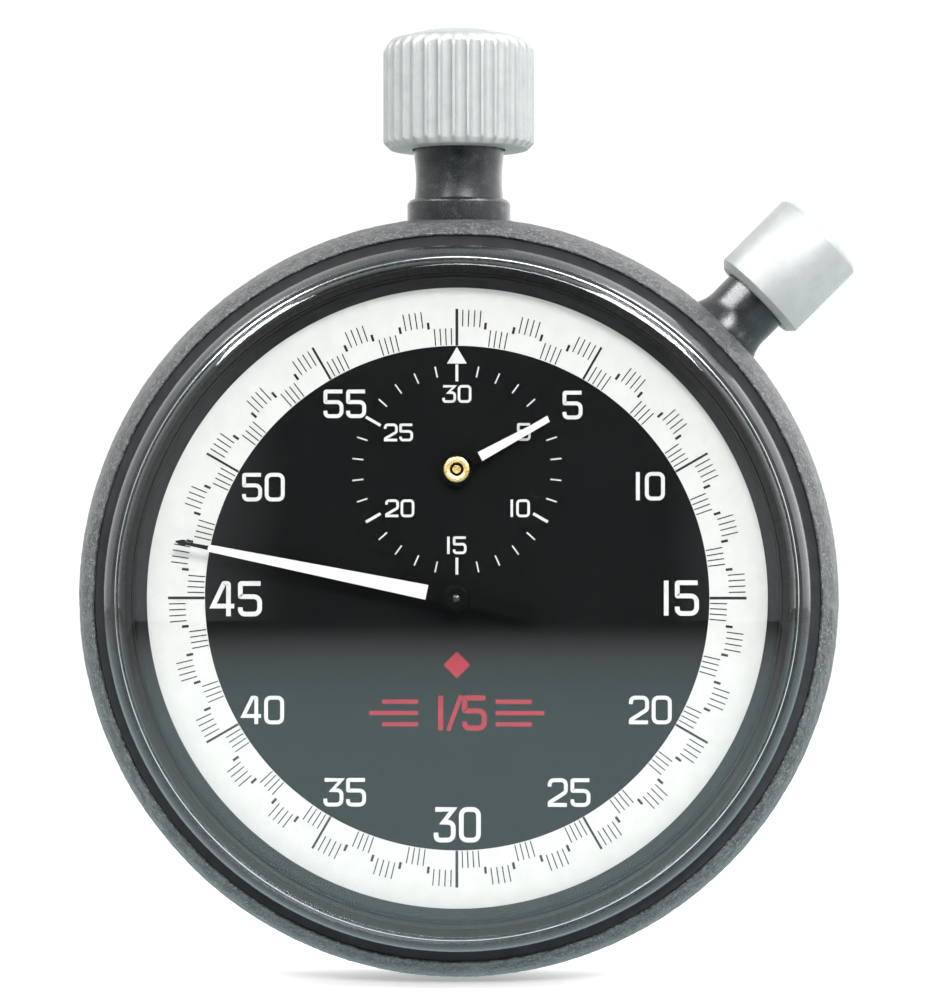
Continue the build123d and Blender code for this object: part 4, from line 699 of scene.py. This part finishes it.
def cap_line(radius, edge, apex, steps):
    """Points from a cap's edge to its apex on the axis, on a sphere."""
    rise = apex - edge
    ball = (radius**2 + rise**2) / (2 * rise)
    full = asin(radius / ball)
    angles = [full * (1 - k / steps) for k in range(1, steps + 1)]
    return [(ball * sin(angle), apex - ball * (1 - cos(angle))) for angle in angles]


crystal_profile = [(22.95, 11.65), (23.95, 11.65), (23.95, 13.55)]
crystal_profile += arc_through((23.95, 13.55), (23.80, 13.89), (23.35, 14.05), 14)
crystal_profile += cap_line(23.35, 14.05, 15.6, 40)
crystal_profile += list(reversed(cap_line(22.75, 12.95, 14.5, 36)))
crystal_profile += [(22.75, 12.95)]
settle(
    turned("crystal_dome", crystal_profile, dial_frame, FINE, FINISHES["clear_crystal"], smooth_angle=40),
    "case", "clear_crystal", "crystal",
)

flange_profile = rounded([(22.05, 11.2), (22.75, 11.2), (22.7, 12.6, 0.05), (22.5, 12.6, 0.05), (22.05, 11.35, 0.05)])
settle(
    turned("dial_flange_ring", flange_profile, dial_frame, FINE, FINISHES["black_flange"]),
    "case", "black_flange", "dial_flange",
)


# ---------------------------------------------------------------- crown, neck and reset button
CROWN_FLUTES = 33
CROWN_RADIUS = 5.5
FLUTE_CENTRE, FLUTE_RADIUS = 5.62, 0.44
# where a flute meets its crest, and the width and depth of the softening there, in radians and millimetres
FLUTE_EDGE, EDGE_WIDTH, EDGE_DEPTH = 0.0655, 0.012, 0.03


def fluted(radius, along, angle):
    """Round-bottomed flutes with softened edges, running out at the chamfers."""
    if radius <= 5.0 or not 32.4 < along < 40.6:
        return radius, along
    pitch = 2 * pi / CROWN_FLUTES
    away = abs((angle + pitch / 2) % pitch - pitch / 2)
    side = FLUTE_CENTRE * sin(away)
    surface = CROWN_RADIUS
    if side < FLUTE_RADIUS:
        surface = min(surface, FLUTE_CENTRE * cos(away) - sqrt(FLUTE_RADIUS**2 - side**2))
    surface -= EDGE_DEPTH * max(0.0, 1 - abs(away - FLUTE_EDGE) / EDGE_WIDTH)
    return min(radius, surface), along


crown_profile = rounded(
    [(3.4, 32.5, 0.15), (5.0, 32.5, 0.25), (5.5, 33.0, 0.25), (5.5, 39.75, 0.7), (4.9, 40.5, 0.4)], closed=False
)
crown_profile = resample(crown_profile, 0.35) + cap_line(4.7, 40.52, 41.3, 14)
crown_profile += [(0.0, 37.2), (3.4, 37.2)]
settle(
    turned("crown_cap", crown_profile, crown_frame, CROWN_FLUTES * 28, FINISHES["satin_aluminium"], shape=fluted,
           smooth_angle=40),
    "crown", "satin_aluminium", "crown",
)

neck_profile = [(3.2, 23.45), (3.2, 26.8)] + rounded(
    [(3.6, 26.8), (3.75, 27.05, 0.1), (3.75, 28.55, 0.12), (3.55, 28.8, 0.1), (3.25, 28.8)], closed=False
)
neck_profile += arc_through((3.25, 28.8), (3.13, 30.4), (3.25, 31.9), 10)
neck_profile += rounded(
    [(3.25, 31.9), (3.25, 35.05, 0.1), (2.85, 35.2, 0.05), (2.85, 28.0), (2.0, 28.0), (2.0, 23.45)], closed=False
)[1:]
settle(
    turned("pendant_neck", neck_profile, crown_frame, 160, FINISHES["dark_steel"]),
    "case", "dark_steel", "pendant_tube",
)

tube_profile = [(1.0, 23.45), (2.45, 23.45), (2.45, 26.7), (2.9, 26.7), (2.85, 27.5)]
tube_profile += arc_through((2.85, 27.5), (2.62, 28.1), (2.55, 29.0), 8)
tube_profile += rounded(
    [(2.55, 29.0), (2.55, 33.2, 0.08), (2.1, 33.2, 0.05), (2.1, 27.4), (1.0, 27.4)], closed=False
)[1:]
settle(
    turned("reset_neck", tube_profile, reset_frame, 128, FINISHES["dark_steel"]),
    "case", "dark_steel", "reset_tube",
)

cap_profile = rounded([(2.65, 30.5), (3.22, 30.5, 0.12), (3.67, 30.95, 0.12), (3.67, 36.85)], closed=False)
cap_profile += arc_through((3.67, 36.85), (3.50, 37.10), (3.05, 37.30), 8)
cap_profile += cap_line(3.05, 37.30, 37.65, 10) + [(0.0, 35.3), (2.65, 35.3)]
settle(
    turned("reset_cap", cap_profile, reset_frame, 192, FINISHES["satin_aluminium"]),
    "reset_button", "satin_aluminium", "reset_button",
)


def coil(name, start, end, turns, mean, wire, place, material):
    """Round-wire compression spring about a turned piece's axis."""
    per_turn, ring = 40, 10
    steps = int(turns * per_turn)
    vertices, faces = [], []
    for k in range(steps + 1):
        share = k / steps
        along = start + wire / 2 + (end - start - wire) * share
        for j in range(ring):
            b = 2 * pi * j / ring
            vertices.append(place(mean + wire / 2 * cos(b), along + wire / 2 * sin(b), 2 * pi * turns * share))
    for k in range(steps):
        for j in range(ring):
            n = (j + 1) % ring
            faces.append((k * ring + j, k * ring + n, (k + 1) * ring + n, (k + 1) * ring + j))
    faces.append(tuple(range(ring)))
    faces.append(tuple(steps * ring + j for j in range(ring)))
    return made(name, vertices, faces, material, 60)


spring = settle(
    coil("crown_return_spring", 28.3, 36.9, 7, 2.4, 0.34, crown_frame, FINISHES["spring_steel"]),
    "case", "spring_steel", "crown_spring",
)
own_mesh(spring)
spring = settle(
    coil("reset_return_spring", 27.7, 35.1, 7, 1.4, 0.32, reset_frame, FINISHES["spring_steel"]),
    "case", "spring_steel", "reset_spring",
)
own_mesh(spring)


# ---------------------------------------------------------------- dial printing
RING_INNER, RING_OUTER = 17.88, 22.0
# ticks: inner radius, outer radius and width
QUARTER_TICK, FIVE_SECOND_TICK, SECOND_TICK = (17.9, 20.5, 0.2), (17.9, 20.5, 0.165), (19.13, 19.62, 0.18)
OUTER_FIFTH, INNER_FIFTH = (19.25, 20.44, 0.08), (17.94, 19.13, 0.08)
FIVE_MINUTE_TICK, MINUTE_TICK = (6.25, 7.45, 0.2), (6.67, 7.45, 0.1)
# numerals: height, pen and a digit's width as a share of its height
QUARTER_STYLE, BOTTOM_STYLE, PLAIN_STYLE = (2.5, 0.33, 0.68), (2.5, 0.33, 0.62), (2.02, 0.27, 0.70)
REGISTER_STYLE, FRACTION_STYLE = (1.26, 0.18, 0.77), (2.5, 0.36, 0.7)
NUMERAL_RADIUS = 15.9
# the printed numbers sit a little off their circle
NUMERAL_SHIFTS = {
    5: (0.25, -0.1), 10: (-0.06, -0.03), 20: (-0.07, 0.03), 30: (0.03, -0.16), 45: (0.25, -0.06), 50: (0.04, -0.09),
}
# middles of the register's numbers, from its arbor
REGISTER_NUMERALS = {
    "30": (0.0, 5.36), "5": (4.75, 2.66), "10": (4.49, -2.75),
    "15": (0.0, -5.37), "20": (-4.05, -2.75), "25": (-4.14, 2.63),
}

white_ring = Print(DIAL_FACE, DIAL_FACE + 0.02)
white_ring.ring((0, 0), RING_INNER, RING_OUTER, 360)
settle(white_ring.finish("dial_white_ring", RING_INK), "case", "hand_paint")

scale = Print(DIAL_FACE + 0.01, DIAL_FACE + 0.032)
for fifth in range(300):
    second, part_of_second = divmod(fifth, 5)
    if fifth % 75 == 0:
        tick = QUARTER_TICK
    elif fifth % 25 == 0:
        tick = FIVE_SECOND_TICK
    elif part_of_second == 0:
        tick = SECOND_TICK
    else:
        tick = INNER_FIFTH if second % 2 else OUTER_FIFTH
    scale.ray((0, 0), 90 - fifth * 1.2, *tick)
settle(scale.finish("dial_scale", SCALE_INK), "case", "black_dial")

numerals = Print(DIAL_FACE, DIAL_FACE + 0.024)
for second in range(5, 60, 5):
    style = QUARTER_STYLE if second % 15 == 0 else PLAIN_STYLE
    if second == 30:
        style = BOTTOM_STYLE
    angle = radians(90 - 6 * second)
    right, up = NUMERAL_SHIFTS.get(second, (0.0, 0.0))
    middle = (NUMERAL_RADIUS * cos(angle) + right, NUMERAL_RADIUS * sin(angle) + up)
    write_number(numerals, str(second), middle, *style)
# triangle at sixty
numerals.band([(-0.70, 16.62), (-0.01, 17.78)], [(0.70, 16.62), (0.01, 17.78)])
for minute in range(30):
    numerals.ray(REGISTER, 90 - minute * 12, *(MINUTE_TICK if minute % 5 else FIVE_MINUTE_TICK))
for text, (x, y) in REGISTER_NUMERALS.items():
    write_number(numerals, text, (REGISTER[0] + x, REGISTER[1] + y), *REGISTER_STYLE)
settle(numerals.finish("dial_numerals", NUMERAL_INK), "case", "hand_paint")

# generic red mark: the fraction between short rules, under a lozenge
emblem = Print(DIAL_FACE, DIAL_FACE + 0.024)
write_number(emblem, "1", (-1.15, -8.15), *FRACTION_STYLE)
emblem.bar((-0.62, -9.4), (0.30, -6.9), 0.30)
write_number(emblem, "5", (1.25, -8.15), *FRACTION_STYLE)
for side in (-1, 1):
    for k, y in enumerate((-7.35, -8.15, -8.95)):
        emblem.bar((side * 2.75, y), (side * (6.2 - 0.9 * abs(k - 1)), y), 0.30)
emblem.band([(-0.95, -4.75), (0.0, -3.8)], [(0.0, -5.7), (0.95, -4.75)])
settle(emblem.finish("dial_fraction_mark", RED_INK), "case", "hand_paint")


# ---------------------------------------------------------------- hands
def hand_shape(centre, angle, outline, low, high, name, material):
    """Flat hand from (distance, half width) pairs along its line."""
    along = Vector((cos(radians(angle)), sin(radians(angle))))
    side = Vector((-along.y, along.x))
    sheet = Print(low, high)
    hub = Vector(centre)
    sheet.band(
        [hub + along * d + side * w for d, w in outline], [hub + along * d - side * w for d, w in outline]
    )
    return sheet.finish(name, material)


# tail, body and the thin pointer with its small head
seconds_outline = [(-5.6, 0.45), (-5.5, 0.60), (-1.0, 0.36), (2.13, 0.52), (17.9, 0.24)]
seconds_outline += [(17.95, 0.15), (19.5, 0.11), (19.58, 0.23), (19.8, 0.22), (20.25, 0.04)]
settle(
    hand_shape((0, 0), SECONDS_ANGLE, seconds_outline, 12.35, 12.55, "seconds_hand_blade", HAND_BLACK),
    "seconds_arbor", "hand_paint", "seconds_hand",
)
settle(
    hand_shape((0, 0), SECONDS_ANGLE, [(2.13, 0.53), (17.9, 0.25)], 12.45, 12.575, "seconds_hand_paint",
               FINISHES["hand_paint"]),
    "seconds_arbor", "hand_paint",
)
hub_profile = rounded([(0.32, 11.8), (1.0, 11.8, 0.05), (1.0, 12.6, 0.12), (0.72, 12.75, 0.1), (0.32, 12.75, 0.04)])
settle(
    turned("seconds_hand_hub", hub_profile, dial_frame, MIDDLE, HAND_BLACK),
    "seconds_arbor", "hand_paint",
)


def register_frame(radius, height, angle):
    """A turned piece's point about the minute arbor."""
    return point(REGISTER[0] + radius * cos(angle), REGISTER[1] + radius * sin(angle), height)


settle(
    turned("minute_hand_ring", rounded([(0.78, 11.7), (1.18, 11.7, 0.03), (1.18, 11.85, 0.04), (0.78, 11.85, 0.03)]),
           register_frame, MIDDLE, HAND_BLACK),
    "minute_arbor", "hand_paint", "minute_hand",
)
settle(
    hand_shape(REGISTER, MINUTE_ANGLE, [(1.0, 0.34), (1.93, 0.35)], 11.7, 11.85, "minute_hand_root", HAND_BLACK),
    "minute_arbor", "hand_paint",
)
settle(
    hand_shape(REGISTER, MINUTE_ANGLE, [(1.88, 0.35), (7.4, 0.195)], 11.7, 11.87, "minute_hand_blade",
               FINISHES["hand_paint"]),
    "minute_arbor", "hand_paint",
)
brass_profile = rounded(
    [(0.42, 11.45), (0.93, 11.45, 0.03), (0.93, 11.95, 0.14), (0.74, 12.08, 0.12), (0.50, 12.02, 0.06), (0.42, 11.8)]
)
settle(
    turned("minute_hand_collet", brass_profile, register_frame, MIDDLE, FINISHES["brass"]),
    "minute_arbor", "brass", "minute_hand_hub",
)

settle(
    turned("minute_arbor_end", rounded([(0.0, 11.5), (0.41, 11.5), (0.41, 11.84, 0.05), (0.2, 11.88), (0.0, 11.88)],
                                       closed=False), register_frame, COARSE, HAND_BLACK, closed=False),
    "minute_arbor", "dark_steel",
)
settle(
    turned("seconds_arbor_end", [(0.0, 12.3), (0.31, 12.3)] + cap_line(0.31, 12.64, 12.74, 8), dial_frame, COARSE,
           FINISHES["dark_steel"], closed=False),
    "seconds_arbor", "dark_steel",
)


# ---------------------------------------------------------------- stage, light and camera
FLOOR_HEIGHT = -27.5
FLOOR_SIZE = 0.6
# all distances over the floor in metres from under the watch
LIGHT_FALL, LIGHT_START = -3.6, 0.12
FADE_FROM, FADE_TO = 0.40, 0.58
CAMERA_GLOW = 0.32
GLOSS_REACH, GLOSS_STEEPNESS, GLOSS_STRENGTH = 0.365, 3.0, 1.34
GLOSS_NEAR, GLOSS_FAR = (0.18, (0.80, 0.99, 1.0)), (0.36, (1.0, 0.98, 0.98))


def floor_material():
    """White paper that thins out with distance and is overexposed, as in a studio shot on white."""
    f = Finish("floor_paper", Roughness=0.9, Specular_IOR_Level=0.1)
    f.colour(f.ramp(f.grain(0.02, 4, 0.6), (0.3, 0.88), (0.7, 0.92)))
    length = f.node("VectorMath", operation="LENGTH")
    f.link(f.place, length.inputs[0])
    distance = length.outputs["Value"]
    path = f.node("LightPath")

    fade = f.node("MapRange")
    f.link(distance, fade.inputs["Value"])
    solid = f.node("Math", operation="MULTIPLY", use_clamp=True)
    f.link(f.maths("EXPONENT", f.maths("MULTIPLY_ADD", distance, LIGHT_FALL, LIGHT_START)), solid.inputs[0])
    f.link(set_range(fade, FADE_FROM, FADE_TO, 1.0, 0.0), solid.inputs[1])
    f.shader.inputs["Emission Color"].default_value = (1, 1, 1, 1)
    f.link(f.maths("MULTIPLY", path.outputs["Is Camera Ray"], CAMERA_GLOW), f.shader.inputs["Emission Strength"])
    paper = f.mixed(solid.outputs[0], f.node("BsdfTransparent").outputs[0], f.shader.outputs[0])

    # in gloss it is an even sheet of light that dies away with distance, cooler close by
    steep = f.maths("POWER", f.maths("MULTIPLY", distance, 1 / GLOSS_REACH), GLOSS_STEEPNESS)
    strength = f.maths("MULTIPLY", f.maths("EXPONENT", f.maths("MULTIPLY", steep, -1.0)), GLOSS_STRENGTH)
    sheet = f.node("Emission")
    f.link(f.ramp(distance, GLOSS_NEAR, GLOSS_FAR), sheet.inputs["Color"])
    f.link(strength, sheet.inputs["Strength"])
    f.link(f.mixed(path.outputs["Is Glossy Ray"], paper, sheet.outputs[0]), f.output.inputs["Surface"])
    return f.material


floor_work = bmesh.new()
bmesh.ops.create_circle(floor_work, cap_ends=True, radius=FLOOR_SIZE, segments=128)
floor_mesh = bpy.data.meshes.new("floor")
floor_work.to_mesh(floor_mesh)
floor_work.free()
floor_mesh.materials.append(floor_material())
floor = bpy.data.objects.new("floor", floor_mesh)
floor.location = (0, -0.006, FLOOR_HEIGHT * MM - 0.0001)  # a hair below the case
bpy.context.scene.collection.objects.link(floor)

world = bpy.data.worlds.new("studio")
bpy.context.scene.world = world
world.use_nodes = True
sky = world.node_tree
sky.nodes.clear()


def sky_node(kind, **settings):
    """A new node of the world."""
    new_node = sky.nodes.new("ShaderNode" + kind)
    for key, value in settings.items():
        setattr(new_node, key, value)
    return new_node


def sky_range(source, *limits):
    """Maps a value of the world between limits."""
    mapped = sky_node("MapRange")
    sky.links.new(source, mapped.inputs["Value"])
    return set_range(mapped, *limits)


def sky_join(kind, *sources, **settings):
    """A node of the world that joins its sources, in order."""
    joined = sky_node(kind, **settings)
    for source, socket in zip(sources, joined.inputs):
        sky.links.new(source, socket)
    return joined.outputs[0]


heading = sky_node("SeparateXYZ")
sky.links.new(sky_node("TexCoord").outputs["Generated"], heading.inputs[0])
# white card stands at both sides and behind; straight in front of the dial the room is dark
sideways = sky_join("Math", heading.outputs["X"], operation="ABSOLUTE")
cards = sky_range(sideways, 0.21, 0.38, 0.02, 0.75)
behind = sky_range(heading.outputs["Y"], -0.75, -0.10, 0.0, 1.3)
# the card on the right is the brighter one
balance = sky_range(heading.outputs["X"], -0.7, 0.7, 0.72, 1.25)
room = sky_node("Background")
room.inputs["Strength"].default_value = 1.0
lit = sky_join("Math", sky_join("Math", cards, behind, operation="ADD"), balance, operation="MULTIPLY")
sky.links.new(lit, room.inputs["Color"])
# the camera sees plain white
seen = sky_node("Background")
seen.inputs["Color"].default_value = (1.0, 1.0, 1.0, 1)
seen.inputs["Strength"].default_value = 1.05
camera_ray = sky_node("LightPath").outputs["Is Camera Ray"]
shown = sky_join("MixShader", camera_ray, room.outputs[0], seen.outputs[0])
sky.links.new(shown, sky_node("OutputWorld").inputs["Surface"])


def soft_box(name, polar, azimuth, distance_m, across, along, watts, glints_only=False):
    """Area light that looks at the watch, placed by its angle from the dial's axis and its dial angle."""
    light = bpy.data.lights.new(name, "AREA")
    light.shape = "RECTANGLE"
    light.size, light.size_y = across, along
    light.energy = watts
    lamp = bpy.data.objects.new(name, light)
    p, a = radians(polar), radians(azimuth)
    out = Vector((sin(p) * cos(a), -cos(p), sin(p) * sin(a)))
    outward = Vector((cos(p) * cos(a), sin(p), cos(p) * sin(a)))
    lamp.location = out * distance_m
    lamp.rotation_mode = "QUATERNION"
    lamp.rotation_quaternion = Matrix((outward.cross(out), outward, out)).transposed().to_quaternion()
    lamp.visible_diffuse = not glints_only
    bpy.context.scene.collection.objects.link(lamp)


soft_box("strip_left", 62, 128, 0.60, 0.15, 0.60, 9.0, glints_only=True)
soft_box("strip_right", 62, 56, 0.60, 0.19, 0.60, 11.0, glints_only=True)
soft_box("front_box", 33, 75, 0.70, 0.30, 0.18, 3.0)

# the camera looks at AIM on the dial, turned and raised by degrees, from a distance in millimetres
AIM = (0.855, 6.96)
VIEW_TURN, VIEW_RISE, VIEW_DISTANCE = 1.27, 1.14, 258.3
LENS, SENSOR = 130.74, 36.0
camera_data = bpy.data.cameras.new("camera")
camera_data.sensor_width = SENSOR
camera_data.lens = LENS
camera_data.clip_start = 0.005
camera_data.clip_end = 20.0
camera = bpy.data.objects.new("camera", camera_data)
bpy.context.scene.collection.objects.link(camera)
bpy.context.scene.camera = camera
turn, rise = radians(VIEW_TURN), radians(VIEW_RISE)
away = Vector((sin(turn) * cos(rise), -cos(turn) * cos(rise), sin(rise)))
camera.location = point(0, 0, DIAL_FACE) + away * (VIEW_DISTANCE * MM)
camera.rotation_mode = "QUATERNION"
camera.rotation_quaternion = (point(*AIM, DIAL_FACE) - camera.location).to_track_quat("-Z", "Y")

bpy.context.scene.view_settings.view_transform = "Standard"
